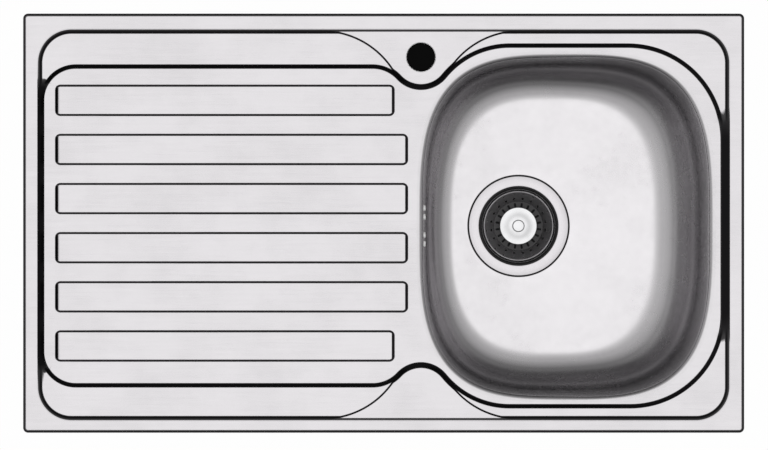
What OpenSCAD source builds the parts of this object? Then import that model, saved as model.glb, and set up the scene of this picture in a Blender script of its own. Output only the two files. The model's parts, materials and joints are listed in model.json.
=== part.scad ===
// Inset kitchen sink with one bowl, a ribbed drainboard and a basket strainer waste.
// The origin is the centre of the worktop cut-out, on the worktop's top surface.
// +X points to the bowl, +Y to the tap ledge at the back, +Z up.

/* [Sink] */
// Overall length along X
sink_l = 860; // [840:5:900]
// Overall width along Y
sink_w = 500; // [490:5:520]
// Thickness of the stainless sheet
sheet_t = 0.8; // [0.6:0.1:1]
// Radius of the outer corners
corner_r = 6; // [4:1:14]

/* [Rim and well] */
// Height of the rim's top above the worktop
rim_rise = 4; // [3.5:0.5:6]
// Width of the flat rim at the two ends
rim_side = 19.7; // [18:0.1:24]
// Width of the flat rim at the back
rim_back = 20.9; // [19:0.1:22]
// Width of the flat rim at the front
rim_front = 16.9; // [16:0.1:18]
// Corner radius of the well inside the rim
well_r = 38; // [34:1:42]
// Gap between the turned-down edge and the worktop
edge_gap = 0.4; // [0.2:0.1:0.8]
// How far the worktop cut-out lies inside the sink's outline
cutout_margin = 10; // [9:0.5:11]

/* [Levels below the rim's top] */
// Drop to the tap ledge and the front swell
ledge_drop = 0.9; // [0.6:0.1:1.2]
// Drop to the terraces
terrace_drop = 3; // [2.6:0.1:3.6]
// Drop to the floor of the drainer and the bowl's surround
floor_drop = 8; // [7:0.5:10]
// Height of a drainer rib above that floor
rib_rise = 3.5; // [2.5:0.5:5]

/* [Recess] */
// Gap between the well and the recess at the drainer end
recess_gap_l = 3; // [2.5:0.5:5]
// Gap between the well and the recess at the bowl end
recess_gap_r = 6; // [4:0.5:7]
// Terrace width behind the drainer
drainer_back = 42.3; // [38:0.1:46]
// Terrace width in front of the drainer
drainer_front = 39.7; // [36:0.1:44]
// Corner radius of the drainer's end
drainer_r = 40; // [30:1:50]
// Terrace width behind the bowl
surround_back = 17.3; // [16:0.1:19]
// Terrace width in front of the bowl
surround_front = 14.7; // [14.2:0.1:16]
// Corner radius of the bowl's surround
surround_r = 121; // [105:1:130]

/* [Tap ledge and front swell] */
// Tap hole diameter
tap_d = 35; // [32:0.5:38]
// Distance from the back edge to the tap hole's centre
tap_back = 52; // [49:0.5:55]
// Distance from the bowl's mouth to the tap hole's centre, along X
tap_shift = 4.7; // [2:0.1:8]
// Radius of the rounded ledge about the tap hole
ledge_r = 36.5; // [34:0.5:39]
// Distance from the front edge to the swell's centre
swell_front = 45.1; // [43:0.1:48]
// Radius of the flanks of the ledge and the swell
flank_r = 100; // [90:1:110]
// Fillet between ledge and drainer
drainer_fillet = 42; // [36:1:48]
// Fillet between ledge and bowl surround
surround_fillet = 100; // [90:1:110]
// Diameter of the stiffener under the tap hole
stiffener_d = 60; // [54:1:61]
// Thickness of that stiffener
stiffener_t = 2; // [1.5:0.5:2]

/* [Drainer ribs] */
// Number of ribs
rib_count = 6; // [4:1:6]
// Spacing of the ribs
rib_pitch = 58.6; // [56:0.1:60]
// Width of a rib
rib_w = 35; // [30:0.5:40]
// Corner radius of a rib
rib_r = 5.5; // [3:0.5:8]
// Distance from the sink's end to the ribs
rib_start = 39; // [36:0.5:50]
// Distance from the ribs to the bowl's mouth
rib_stop = 12.3; // [10:0.1:16]
// How much shorter the first and last ribs are
rib_short = 16; // [12:0.5:24]

/* [Bowl] */
// Length of the bowl's mouth along X
bowl_l = 354; // [340:1:360]
// Distance from the bowl's mouth to the recess at the bowl end
bowl_side = 10.5; // [9.5:0.1:14]
// Distance from the bowl's mouth to the recess at back and front
bowl_margin = 7.1; // [6:0.1:10]
// Depth of the bowl below the drainer's floor
bowl_depth = 150; // [140:5:180]
// Fall of the bowl's floor towards the waste
bowl_fall = 4; // [2:0.5:6]
// Radius of the rounded edge at the mouth
mouth_r = 5; // [3:0.5:7]
// Flat lip between the mouth and the weld
lip_w = 3; // [2:0.5:4]
// Inset of the bowl's floor at the overflow wall
floor_in_l = 37; // [34:1:42]
// Inset of the bowl's floor at the opposite wall
floor_in_r = 67; // [60:1:75]
// Inset of the bowl's floor at back and front
floor_in_y = 50; // [45:1:58]

/* [Overflow] */
// Height of a slot
slot_h = 14; // [10:0.5:18]
// Width of a slot
slot_w = 7; // [5:0.5:8]
// Spacing of the slots
slot_pitch = 10.75; // [9.5:0.25:11]
// Depth of the slots' centre below the drainer's floor
slot_depth = 38; // [34:1:44]
// Diameter of the overflow screw's shank
overflow_screw_d = 3; // [2.5:0.5:4]
// Outer diameter of the overflow pipe
pipe_d = 16; // [14:0.5:18]
// Wall of the overflow pipe
pipe_wall = 2; // [1.5:0.5:3]
// Bend radius of the overflow pipe, on its centre line
pipe_bend = 26; // [22:1:32]

/* [Waste] */
// Distance from the bowl's mouth to the waste's centre, along X
waste_in = 122.2; // [115:0.1:130]
// Diameter of the dish's flange
flange_d = 120; // [116:1:122]
// Thickness of that flange
flange_t = 1.2; // [1:0.1:1.5]
// Gap between the flange and the wall of its recess
flange_gap = 1; // [0.5:0.1:1.5]
// Diameter of the hole in the bowl
waste_hole_d = 92; // [91:0.5:93]
// Outer diameter of the dish's cup
dish_d = 88; // [86:0.5:88.5]
// Diameter of the dish's mouth, across its rounded lip
dish_mouth_d = 96; // [94:0.5:98]
// Depth of the dish below its flange
dish_depth = 42; // [38:1:46]
// Diameter of the waste body
body_d = 100; // [98:1:104]
// Wall of the waste body
body_wall = 3; // [2.5:0.5:3]
// Diameter of the waste body's flange
body_flange_d = 114; // [110:1:118]
// Diameter of the threaded outlet
outlet_d = 47.8; // [46:0.1:49]
// Bore of the outlet
outlet_bore = 38; // [34:0.5:40]
// Length of the threaded outlet
outlet_l = 32; // [26:1:40]

/* [Basket] */
// Diameter of the basket's rim
basket_d = 85; // [82:0.5:85.5]
// Depth of the basket's rim below the flange
basket_drop = 8; // [6:0.5:10]
// Diameter of the basket's floor
basket_floor_d = 60; // [56:1:62]
// Thickness of the basket's sheet
basket_t = 0.8; // [0.6:0.1:1]
// Diameter of the pull disc
cap_d = 44.3; // [40:0.1:46]
// Diameter of the knob
knob_d = 14.8; // [12:0.1:18]
// Diameter of the stem
stem_d = 6; // [5:0.5:7]
// Number of holes in each ring of the basket
basket_holes = 20; // [12:1:20]

/* [Worktop clamps] */
// Distance of a clamp's axis from the well's edge
clamp_inset = 7.6; // [7.3:0.1:8]
// Width of the brackets and claws
clamp_w = 10; // [9:0.5:10]
// Depth of the claws' toes below the worktop's top, when slack
toe_depth = 42; // [40:1:48]
// Reach of a claw from its axis
claw_reach = 28; // [26:1:32]
// Travel of a claw
claw_travel = 14; // [10:1:14]
// Diameter of the clamp screws
screw_d = 5; // [4:0.5:5]
// Width of the weld nuts across their flats
nut_af = 8; // [7.5:0.5:8]

/* [Hidden] */
clamp_count = 8;
clamp_numbers = [for (i = [1:clamp_count]) i];
$fn = 72;

// Overrun of every cutting tool past the face it cuts
over = 1;
// Radial clearance of a running fit
fit = 0.05;
// Gap between parts that move past each other
gap = 0.3;
// Largest angle between two points of an outline's arc
arc_step = 7.5;
// Number of points round the bowl
bowl_sides = 64;

// Heights
rim_z = rim_rise;
ledge_z = rim_z - ledge_drop;
terrace_z = rim_z - terrace_drop;
floor_z = rim_z - floor_drop;
rib_z = floor_z + rib_rise;

// Edges of the well, the recess and the bowl
well_x = sink_l / 2 - rim_side;
well_b = sink_w / 2 - rim_back;
well_f = rim_front - sink_w / 2;
recess_l = recess_gap_l - well_x;
recess_r = well_x - recess_gap_r;
drainer_b = well_b - drainer_back;
drainer_f = well_f + drainer_front;
surround_b = well_b - surround_back;
surround_f = well_f + surround_front;
bowl_r = recess_r - bowl_side;
bowl_x = bowl_r - bowl_l / 2;
bowl_y = (surround_b + surround_f) / 2;
bowl_w = surround_b - surround_f - 2 * bowl_margin;
mouth_l = bowl_x - bowl_l / 2;
tap_x = mouth_l + tap_shift;
tap_y = sink_w / 2 - tap_back;
swell_y = swell_front - sink_w / 2;
rib_l = rib_start - sink_l / 2;
rib_e = mouth_l - rib_stop;

// Points of a circular arc about c from angle a to angle b
function arc(c, r, a, b) =
    let (n = max(1, ceil(abs(b - a) / arc_step)))
    [for (i = [0:n]) let (t = a + (b - a) * i / n) c + r * [cos(t), sin(t)]];

// Outline of a rectangle with rounded corners
function box_outline(x0, y0, x1, y1, r) = concat(
    arc([x1 - r, y1 - r], r, 0, 90),
    arc([x0 + r, y1 - r], r, 90, 180),
    arc([x0 + r, y0 + r], r, 180, 270),
    arc([x1 - r, y0 + r], r, 270, 360)
);

// Outlines of the sink, grown outwards by o
function rim_outline(o) =
    box_outline(-sink_l / 2 - o, -sink_w / 2 - o, sink_l / 2 + o, sink_w / 2 + o, corner_r + o);
function well_outline(o) =
    box_outline(-well_x - o, well_f - o, well_x + o, well_b + o, well_r + o);

// Centre of a fillet of radius f between the line y = edge and a circle of radius r about c.
// side is 1 to the right of the circle and -1 to its left.
// up is 1 below a back edge and -1 above a front one.
function fillet_centre(c, r, f, edge, side, up) =
    let (y = edge - up * f)
    [c[0] + side * sqrt((r + f) * (r + f) - (y - c[1]) * (y - c[1])), y];

// Direction from point a to point b, from 0 to 360 degrees
function heading(a, b) = (atan2(b[1] - a[1], b[0] - a[0]) + 360) % 360;

tap = [tap_x, tap_y];
swell = [tap_x, swell_y];
back_l = fillet_centre(tap, ledge_r, drainer_fillet, drainer_b, -1, 1);
back_r = fillet_centre(tap, ledge_r, surround_fillet, surround_b, 1, 1);
front_l = fillet_centre(swell, ledge_r, drainer_fillet, drainer_f, -1, -1);
front_r = fillet_centre(swell, ledge_r, surround_fillet, surround_f, 1, -1);

// Outline of the recess that holds the drainer and the bowl, grown outwards by o
function recess_outline(o) = concat(
    arc([recess_l + drainer_r, drainer_b - drainer_r], drainer_r + o, 180, 90),
    arc(back_l, drainer_fillet + o, 90, heading(back_l, tap)),
    arc(tap, ledge_r - o, heading(tap, back_l), heading(tap, back_r)),
    arc(back_r, surround_fillet + o, heading(back_r, tap), 90),
    arc([recess_r - surround_r, surround_b - surround_r], surround_r + o, 90, 0),
    arc([recess_r - surround_r, surround_f + surround_r], surround_r + o, 360, 270),
    arc(front_r, surround_fillet + o, 270, heading(front_r, swell)),
    arc(swell, ledge_r - o, heading(swell, front_r), heading(swell, front_l)),
    arc(front_l, drainer_fillet + o, heading(front_l, swell), 270),
    arc([recess_l + drainer_r, drainer_f + drainer_r], drainer_r + o, 270, 180)
);

ledge_l = fillet_centre(tap, ledge_r, flank_r, well_b, -1, 1);
ledge_e = fillet_centre(tap, ledge_r, flank_r, well_b, 1, 1);
swell_l = fillet_centre(swell, ledge_r, flank_r, well_f, -1, -1);
swell_e = fillet_centre(swell, ledge_r, flank_r, well_f, 1, -1);

// Outlines of the tap ledge and the front swell, grown outwards by o along their flanks and round ends.
// Each runs back into the rim's step by the sheet's thickness, and an inner outline runs out past it.
function ledge_outline(o) = concat(
    arc(ledge_l, flank_r - o, 90, heading(ledge_l, tap)),
    arc(tap, ledge_r + o, heading(tap, ledge_l), heading(tap, ledge_e)),
    arc(ledge_e, flank_r - o, heading(ledge_e, tap), 90),
    [[ledge_e[0], well_b + sheet_t - 2 * o], [ledge_l[0], well_b + sheet_t - 2 * o]]
);
function swell_outline(o) = concat(
    arc(swell_e, flank_r - o, 270, heading(swell_e, swell)),
    arc(swell, ledge_r + o, heading(swell, swell_e), heading(swell, swell_l)),
    arc(swell_l, flank_r - o, heading(swell_l, swell), 270),
    [[swell_l[0], well_f - sheet_t + 2 * o], [swell_e[0], well_f - sheet_t + 2 * o]]
);

// Outline of rib i, grown outwards by o. The first and last ribs are the short ones.
function rib_y(i) = (i - (rib_count - 1) / 2) * rib_pitch;
function rib_end(i) = rib_e - (i == 0 || i == rib_count - 1 ? rib_short : 0);
function rib_outline(i, o) =
    box_outline(rib_l - o, rib_y(i) - rib_w / 2 - o, rib_end(i) + o, rib_y(i) + rib_w / 2 + o, rib_r + o);

// Deck

// A flat sheet of stainless steel whose upper face is at z
module sheet_at(z) {
    translate([0, 0, z - sheet_t]) linear_extrude(sheet_t) children();
}

// An upright step of the pressing, from height low to height high
module step_wall(low, high) {
    translate([0, 0, low]) linear_extrude(high - low) children();
}

module between(outer, inner) {
    difference() {
        polygon(outer);
        polygon(inner);
    }
}

module ribs(o) {
    for (i = [0:rib_count - 1]) polygon(rib_outline(i, o));
}

module deck() {
    color("gainsboro") difference() {
        union() {
            sheet_at(rim_z) between(rim_outline(0), well_outline(0));
            step_wall(edge_gap, rim_z) between(rim_outline(0), rim_outline(-sheet_t));
            step_wall(terrace_z - sheet_t, rim_z) between(well_outline(sheet_t), well_outline(0));
            sheet_at(terrace_z) difference() {
                between(well_outline(sheet_t), recess_outline(0));
                polygon(ledge_outline(-sheet_t));
                polygon(swell_outline(-sheet_t));
            }
            sheet_at(ledge_z) {
                polygon(ledge_outline(0));
                polygon(swell_outline(0));
            }
            step_wall(terrace_z - sheet_t, ledge_z) {
                between(ledge_outline(0), ledge_outline(-sheet_t));
                between(swell_outline(0), swell_outline(-sheet_t));
            }
            step_wall(floor_z - sheet_t, terrace_z) between(recess_outline(sheet_t), recess_outline(0));
            sheet_at(floor_z) difference() {
                between(recess_outline(sheet_t), mouth_outline(lip_w));
                ribs(-sheet_t);
            }
            step_wall(floor_z - sheet_t, rib_z) difference() {
                ribs(0);
                ribs(-sheet_t);
            }
            sheet_at(rib_z) ribs(0);
        }
        translate([tap_x, tap_y, floor_z]) cylinder(d = tap_d, h = floor_drop);
    }
}

// Bowl

// How square the bowl is: 2 is an ellipse, and more is squarer
mouth_power = 3.25;
floor_power = 2.9;
// Radius of the rounding between wall and floor, as a share of the floor's inset
foot_share = 0.8;
floor_l = bowl_l - floor_in_l - floor_in_r;
floor_x = mouth_l + floor_in_l + floor_l / 2;
bowl_floor_w = bowl_w - 2 * floor_in_y;
waste_x = mouth_l + waste_in;
waste_y = bowl_y;
flange_z = floor_z - bowl_depth;
recess_depth = flange_t + sheet_t;
recess_z = flange_z - recess_depth;
waste_recess_r = flange_d / 2 + flange_gap;

// One point of a rounded box, at direction t from its centre
function squircle(c, a, b, power, t) = [
    c[0] + a * sign(cos(t)) * pow(abs(cos(t)), 2 / power),
    c[1] + b * sign(sin(t)) * pow(abs(sin(t)), 2 / power)
];
function turn(i) = (i + 0.5) * 360 / bowl_sides;
function mouth_point(i, o) =
    squircle([bowl_x, bowl_y], bowl_l / 2 + o, bowl_w / 2 + o, mouth_power, turn(i));
function floor_point(i) =
    squircle([floor_x, bowl_y], floor_l / 2, bowl_floor_w / 2, floor_power, turn(i));
function mouth_outline(o) = [for (i = [0:bowl_sides - 1]) mouth_point(i, o)];

// Angle of the straight wall from the vertical, for a floor inset by w and a foot of radius f
wall_depth = bowl_depth - bowl_fall;
function wall_angle(w, f) =
    let (s = f + mouth_r, h = wall_depth - s)
    acos(s / sqrt(w * w + h * h)) - atan2(h, w);

// Section of the wall as [inset, depth], lying o behind its inner face: an arc, a straight wall and an arc
mouth_steps = 3;
foot_steps = 6;
function wall_section(w, f, o) =
    let (a = 90 - wall_angle(w, f))
    concat(
        [for (k = [0:mouth_steps]) let (t = a * k / mouth_steps)
            [(mouth_r - o) * sin(t), mouth_r - (mouth_r - o) * cos(t)]],
        [for (k = [0:foot_steps]) let (t = a * (1 - k / foot_steps))
            [w - (f + o) * sin(t), wall_depth - f + (f + o) * cos(t)]]
    );

// The line of points down one side of the bowl, o behind its inner face
function wall_line(i, o) =
    let (
        top = mouth_point(i, 0),
        way = floor_point(i) - top,
        w = norm(way),
        section = wall_section(w, w * foot_share, o)
    )
    [for (p = section) [top[0] + way[0] * p[0] / w, top[1] + way[1] * p[0] / w, floor_z - p[1]]];

function disc_point(i, r, z) = [waste_x + r * cos(turn(i)), waste_y + r * sin(turn(i)), z];

// The whole line from the weld to the middle of the waste's recess. The lip's end is upright at the weld.
function bowl_line(i, o) = concat(
    [concat(mouth_point(i, lip_w), floor_z - o)],
    wall_line(i, o),
    [disc_point(i, waste_recess_r + flange_t + o, flange_z - o)],
    [disc_point(i, waste_recess_r + o, flange_z - o)],
    [disc_point(i, waste_recess_r + o, recess_z - o)],
    [disc_point(i, waste_hole_d / 4, recess_z - o)]
);

// A closed sheet between two sets of lines, given from the outer edge to the middle
module lofted_sheet(inner, outer) {
    sides = len(inner);
    n = len(inner[0]);
    points = concat([for (line = inner) each line], [for (line = outer) each line]);
    function at(i, k) = (i % sides) * n + k;
    function back(i, k) = sides * n + at(i, k);
    polyhedron(points, concat(
        [for (i = [0:sides - 1], k = [0:n - 2]) [at(i, k), at(i, k + 1), at(i + 1, k + 1)]],
        [for (i = [0:sides - 1], k = [0:n - 2]) [at(i, k), at(i + 1, k + 1), at(i + 1, k)]],
        [for (i = [0:sides - 1], k = [0:n - 2]) [back(i, k), back(i + 1, k + 1), back(i, k + 1)]],
        [for (i = [0:sides - 1], k = [0:n - 2]) [back(i, k), back(i + 1, k), back(i + 1, k + 1)]],
        [for (i = [0:sides - 1]) [at(i, 0), at(i + 1, 0), back(i + 1, 0)]],
        [for (i = [0:sides - 1]) [at(i, 0), back(i + 1, 0), back(i, 0)]],
        [for (i = [0:sides - 1]) [at(i, n - 1), back(i + 1, n - 1), at(i + 1, n - 1)]],
        [for (i = [0:sides - 1]) [at(i, n - 1), back(i, n - 1), back(i + 1, n - 1)]]
    ));
}

// The overflow's frame: its origin is on the wall's inner face at the slots' centre, with Z up the wall
// and X out through it, away from the bowl
slot_round_share = 0.49;
flat_side = bowl_sides / 2 - 1;
wall_top = wall_line(flat_side, 0)[mouth_steps];
wall_foot = wall_line(flat_side, 0)[mouth_steps + 1];
wall_tilt = atan2(wall_foot[0] - wall_top[0], wall_top[2] - wall_foot[2]);
slot_z = floor_z - slot_depth;
slot_share = (wall_top[2] - slot_z) / (wall_top[2] - wall_foot[2]);
slot_x = wall_top[0] + (wall_foot[0] - wall_top[0]) * slot_share;
module on_overflow() {
    translate([slot_x, bowl_y, slot_z]) rotate([0, -wall_tilt, 0]) mirror([1, 0, 0]) children();
}

// A rounded bar along X, from x to x + h, of width w across Y and height l up Z
module bar(x, h, w, l, r) {
    translate([x, 0, 0]) rotate([90, 0, 90]) linear_extrude(h)
        polygon(box_outline(-w / 2, -l / 2, w / 2, l / 2, r));
}

module bowl() {
    inner = [for (i = [0:bowl_sides - 1]) bowl_line(i, 0)];
    outer = [for (i = [0:bowl_sides - 1]) bowl_line(i, sheet_t)];
    color("silver") difference() {
        lofted_sheet(inner, outer);
        translate([waste_x, waste_y, recess_z - recess_depth])
            cylinder(d = waste_hole_d, h = 2 * recess_depth);
        on_overflow() {
            for (k = [-2, -1, 1, 2]) translate([0, k * slot_pitch, 0])
                bar(-over, sheet_t + 2 * over, slot_w, slot_h, slot_w * slot_round_share);
            rotate([0, 90, 0]) translate([0, 0, -over])
                cylinder(d = overflow_screw_d + 2 * fit, h = sheet_t + 2 * over);
        }
    }
}

// Rim seal, stiffener and sound pad

// Distances from the sink's edge to the seal and from the seal to the cut-out
seal_inset = 2;
seal_gap = 1;
seal_w = cutout_margin - seal_inset - seal_gap;
function seal_outline(i) =
    box_outline(i - sink_l / 2, i - sink_w / 2, sink_l / 2 - i, sink_w / 2 - i, corner_r);
module rim_seal() {
    color("dimgray") linear_extrude(rim_z - sheet_t)
        between(seal_outline(seal_inset), seal_outline(seal_inset + seal_w));
}

module tap_stiffener() {
    color("gray") translate([tap_x, tap_y, ledge_z - sheet_t - stiffener_t]) difference() {
        cylinder(d = stiffener_d, h = stiffener_t);
        translate([0, 0, -over]) cylinder(d = tap_d, h = stiffener_t + 2 * over);
    }
}

// The pad lies against the sloping underside of the bowl's floor, beyond the waste
pad_t = 3;
pad_l = 70;
pad_w = 130;
pad_r = 8;
pad_gap = 20;
module sound_pad() {
    x = waste_x + waste_recess_r + pad_gap;
    under = [for (i = [0:bowl_sides - 1]) floor_line(i, sheet_t)];
    below = [for (i = [0:bowl_sides - 1]) floor_line(i, sheet_t + pad_t)];
    color([0.16, 0.16, 0.17]) intersection() {
        lofted_sheet(under, below);
        translate([x, waste_y, flange_z - bowl_depth / 2]) linear_extrude(bowl_depth)
            polygon(box_outline(0, -pad_w / 2, pad_l, pad_w / 2, pad_r));
    }
}
function floor_line(i, o) = [
    concat(floor_point(i), floor_z - wall_depth - o),
    disc_point(i, waste_recess_r + flange_t + sheet_t, flange_z - o)
];

// Worktop clamps

// Places along X as shares of the sink's length, the same at back and front
clamp_x_share = [-0.42, -0.15, 0.24, 0.42];
strip_t = 1.5;
web_l = 20;
foot_l = 8;
nut_h = 4;
claw_t = 2.5;
toe_h = 8;
toe_t = 3;
washer_t = 1;
screw_head_h = 3.5;
screw_head_w = 9;
driver_slot = 1;
screw_tail = 1;
tail_gap = 7.2;
web_z = terrace_z - sheet_t - tail_gap - claw_travel - screw_tail - nut_h;
claw_z = -toe_depth - toe_h - claw_t;
washer_z = claw_z - washer_t;
screw_top = web_z + nut_h + screw_tail;

// Puts a clamp's parts at place i, with +X pointing out of the cut-out.
// Places 1 to 4 are at the back and 5 to 8 in front.
module at_clamp(i) {
    back = i <= clamp_count / 2;
    x = sink_l * clamp_x_share[(i - 1) % (clamp_count / 2)];
    y = back ? well_b - clamp_inset : well_f + clamp_inset;
    translate([x, y, 0]) rotate([0, 0, back ? 90 : -90]) children();
}

module hanger_bracket() {
    top = terrace_z - sheet_t;
    difference() {
        union() {
            translate([-clamp_w / 2, -web_l / 2, web_z - strip_t]) cube([clamp_w, web_l, strip_t]);
            for (a = [0, 180]) rotate([0, 0, a])
                translate([-clamp_w / 2, web_l / 2 - strip_t, web_z - strip_t]) {
                    cube([clamp_w, strip_t, top - web_z + strip_t]);
                    translate([0, 0, top - web_z]) cube([clamp_w, foot_l, strip_t]);
                }
        }
        translate([0, 0, web_z - strip_t - over]) cylinder(d = screw_d + 4 * gap, h = strip_t + 2 * over);
    }
}

module hanger_brackets() {
    color("darkgray") for (i = clamp_numbers) at_clamp(i) hanger_bracket();
}

module weld_nuts() {
    color("gold") for (i = clamp_numbers) at_clamp(i) translate([0, 0, web_z]) difference() {
        rotate([0, 0, 30]) cylinder(d = nut_af / cos(30), h = nut_h, $fn = 6);
        translate([0, 0, -over]) cylinder(d = screw_d + 2 * fit, h = nut_h + 2 * over);
    }
}

module clamp_washer(i) {
    color("lightgray") at_clamp(i) translate([0, 0, washer_z]) difference() {
        cylinder(d = 2 * screw_d, h = washer_t - fit);
        translate([0, 0, -over]) cylinder(d = screw_d + 2 * fit, h = washer_t + 2 * over);
    }
}

// A claw rests along the sink's edge, turned out of the way. Its outer end turns up into a toe.
module clamp_claw(i) {
    color("darkgray") at_clamp(i) rotate([0, 0, 90]) difference() {
        union() {
            translate([0, 0, claw_z]) cylinder(d = clamp_w, h = claw_t);
            translate([0, -clamp_w / 2, claw_z]) cube([claw_reach, clamp_w, claw_t]);
            translate([claw_reach - toe_t, -clamp_w / 2, claw_z]) cube([toe_t, clamp_w, claw_t + toe_h]);
        }
        translate([0, 0, claw_z - over]) cylinder(d = screw_d + 2 * fit, h = claw_t + 2 * over);
    }
}

module clamp_screw(i) {
    color("lightgray") at_clamp(i) difference() {
        union() {
            translate([0, 0, washer_z - fit]) cylinder(d = screw_d, h = screw_top - washer_z + fit);
            translate([0, 0, washer_z - fit - screw_head_h]) cylinder(d = screw_head_w, h = screw_head_h);
        }
        translate([-screw_d, -driver_slot / 2, washer_z - fit - screw_head_h - over])
            cube([2 * screw_d, driver_slot, over + screw_head_h / 2]);
    }
}

// Waste

module at_waste(z) {
    translate([waste_x, waste_y, z]) children();
}

// A turned part whose section is drawn as [radius, height] points
module turned(section) {
    rotate_extrude() polygon(section);
}

module ring(r0, r1, z0, z1) {
    turned([[r0, z0], [r1, z0], [r1, z1], [r0, z1]]);
}

dish_t = 0.8;
dish_r = dish_d / 2;
dish_in = dish_r - dish_t;
dish_floor = flange_z - dish_depth;
mouth_in = dish_mouth_d / 2;
lip_r = mouth_in - dish_in;
drain_slots = 6;
drain_in = 13;
drain_out = 20;
drain_w = 7;
waste_screw_d = 6;
screw_head_d = 11;
screw_head_t = 3;
screw_bevel = 1.5;
screw_slot = 1.6;

module flange_seal() {
    color("dimgray") at_waste(0) ring(mouth_in, flange_d / 2 - flange_gap, recess_z, recess_z + sheet_t);
}

// The dish is a flange with a rounded lip, a straight cup and a slotted floor
module strainer_dish() {
    lip = arc([mouth_in, flange_z - lip_r], lip_r, 90, 180);
    behind = arc([mouth_in, flange_z - lip_r], lip_r - flange_t, 180, 90);
    section = concat(
        [[flange_d / 2, flange_z]],
        lip,
        [[dish_in, dish_floor + dish_t], [0, dish_floor + dish_t], [0, dish_floor]],
        [[dish_r, dish_floor], [dish_r, flange_z - lip_r]],
        behind,
        [[flange_d / 2, flange_z - flange_t]]
    );
    color("silver") at_waste(0) difference() {
        turned(section);
        for (k = [0:drain_slots - 1]) rotate([0, 0, k * 360 / drain_slots])
            translate([drain_in, -drain_w / 2, dish_floor - over])
                cube([drain_out - drain_in, drain_w, dish_t + 2 * over]);
        translate([0, 0, dish_floor - over]) cylinder(d = waste_screw_d + 2 * gap, h = dish_t + 2 * over);
    }
}

gasket_t = 3;
bowl_under = recess_z - sheet_t;
body_top = bowl_under - gasket_t;
module body_gasket() {
    color([0.15, 0.15, 0.15]) at_waste(0) ring(waste_hole_d / 2, body_flange_d / 2, body_top, bowl_under);
}

body_flange_t = 4;
body_r = body_d / 2;
body_in = body_r - body_wall;
chamber_h = 16;
chamber_z = dish_floor - chamber_h;
throat_h = 18;
outlet_top = chamber_z - throat_h;
outlet_end = outlet_top - outlet_l;
hub_r = 8;
hub_h = 14;
rib_t = 3;
hub_ribs = 3;
port_z = dish_floor + dish_depth / 2;
port_l = 20;
port_root_share = 0.8;
thread_wall = 2.5;
port_r = pipe_d / 2 + thread_wall;
port_end = waste_x - body_r - port_l;
funnel_wall = outlet_d / 2 - outlet_bore / 2;

// The body is a cup round the dish that narrows to the outlet. A hub on ribs, which pass between the dish's
// drain slots, takes the central screw, and a side port towards -X takes the overflow.
module waste_body() {
    color("whitesmoke") {
        difference() {
            union() {
                at_waste(0) turned([
                    [waste_hole_d / 2, body_top], [waste_hole_d / 2, body_top - body_flange_t],
                    [body_in, body_top - body_flange_t], [body_in, chamber_z], [outlet_bore / 2, outlet_top],
                    [outlet_bore / 2, outlet_end], [outlet_d / 2, outlet_end],
                    [outlet_bore / 2 + funnel_wall, outlet_top], [body_r, chamber_z],
                    [body_r, body_top - body_flange_t], [body_flange_d / 2, body_top - body_flange_t],
                    [body_flange_d / 2, body_top]
                ]);
                translate([port_end, waste_y, port_z]) rotate([0, 90, 0])
                    cylinder(r = port_r, h = port_l + body_wall * port_root_share);
            }
            translate([port_end - over, waste_y, port_z]) rotate([0, 90, 0])
                cylinder(d = pipe_d + 2 * fit, h = port_l + body_wall + 2 * over);
        }
        at_waste(0) difference() {
            union() {
                translate([0, 0, dish_floor - hub_h]) cylinder(r = hub_r, h = hub_h);
                for (k = [0:hub_ribs - 1]) rotate([0, 0, (k + 0.5) * 360 / hub_ribs - 30])
                    translate([0, -rib_t / 2, dish_floor - hub_h])
                        cube([body_in + body_wall / 2, rib_t, hub_h]);
            }
            translate([0, 0, dish_floor - insert_h - gap]) cylinder(r = insert_r, h = insert_h + over + gap);
        }
    }
}

insert_r = 5;
insert_h = 10;
module insert_nut() {
    color("goldenrod") at_waste(0) ring(waste_screw_d / 2 + fit, insert_r, dish_floor - insert_h, dish_floor);
}

module waste_screw() {
    under_head = dish_floor + dish_t;
    color("silver") at_waste(0) difference() {
        turned([
            [0, under_head + screw_head_t], [screw_head_d / 2 - screw_bevel, under_head + screw_head_t],
            [screw_head_d / 2, under_head], [waste_screw_d / 2, under_head],
            [waste_screw_d / 2, dish_floor - insert_h], [0, dish_floor - insert_h]
        ]);
        translate([-screw_head_d / 2, -screw_slot / 2, under_head + screw_head_t / 2])
            cube([screw_head_d, screw_slot, screw_head_t]);
    }
}

// Basket

rim_lip = 1.7;
seal_r = 27;
seal_t = 6;
seat_z = dish_floor + dish_t + gap;
basket_floor_z = seat_z + seal_t;
basket_rim_z = flange_z - basket_drop;
basket_in = basket_d / 2 - rim_lip - basket_t;
floor_hole_gap = 1.8;
floor_hole_l = 4;
floor_hole_w = 2.7;
wall_hole_d = 3;
slot_high = 8;
stem_r = stem_d / 2;
basket_floor_r = basket_floor_d / 2;

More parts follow.
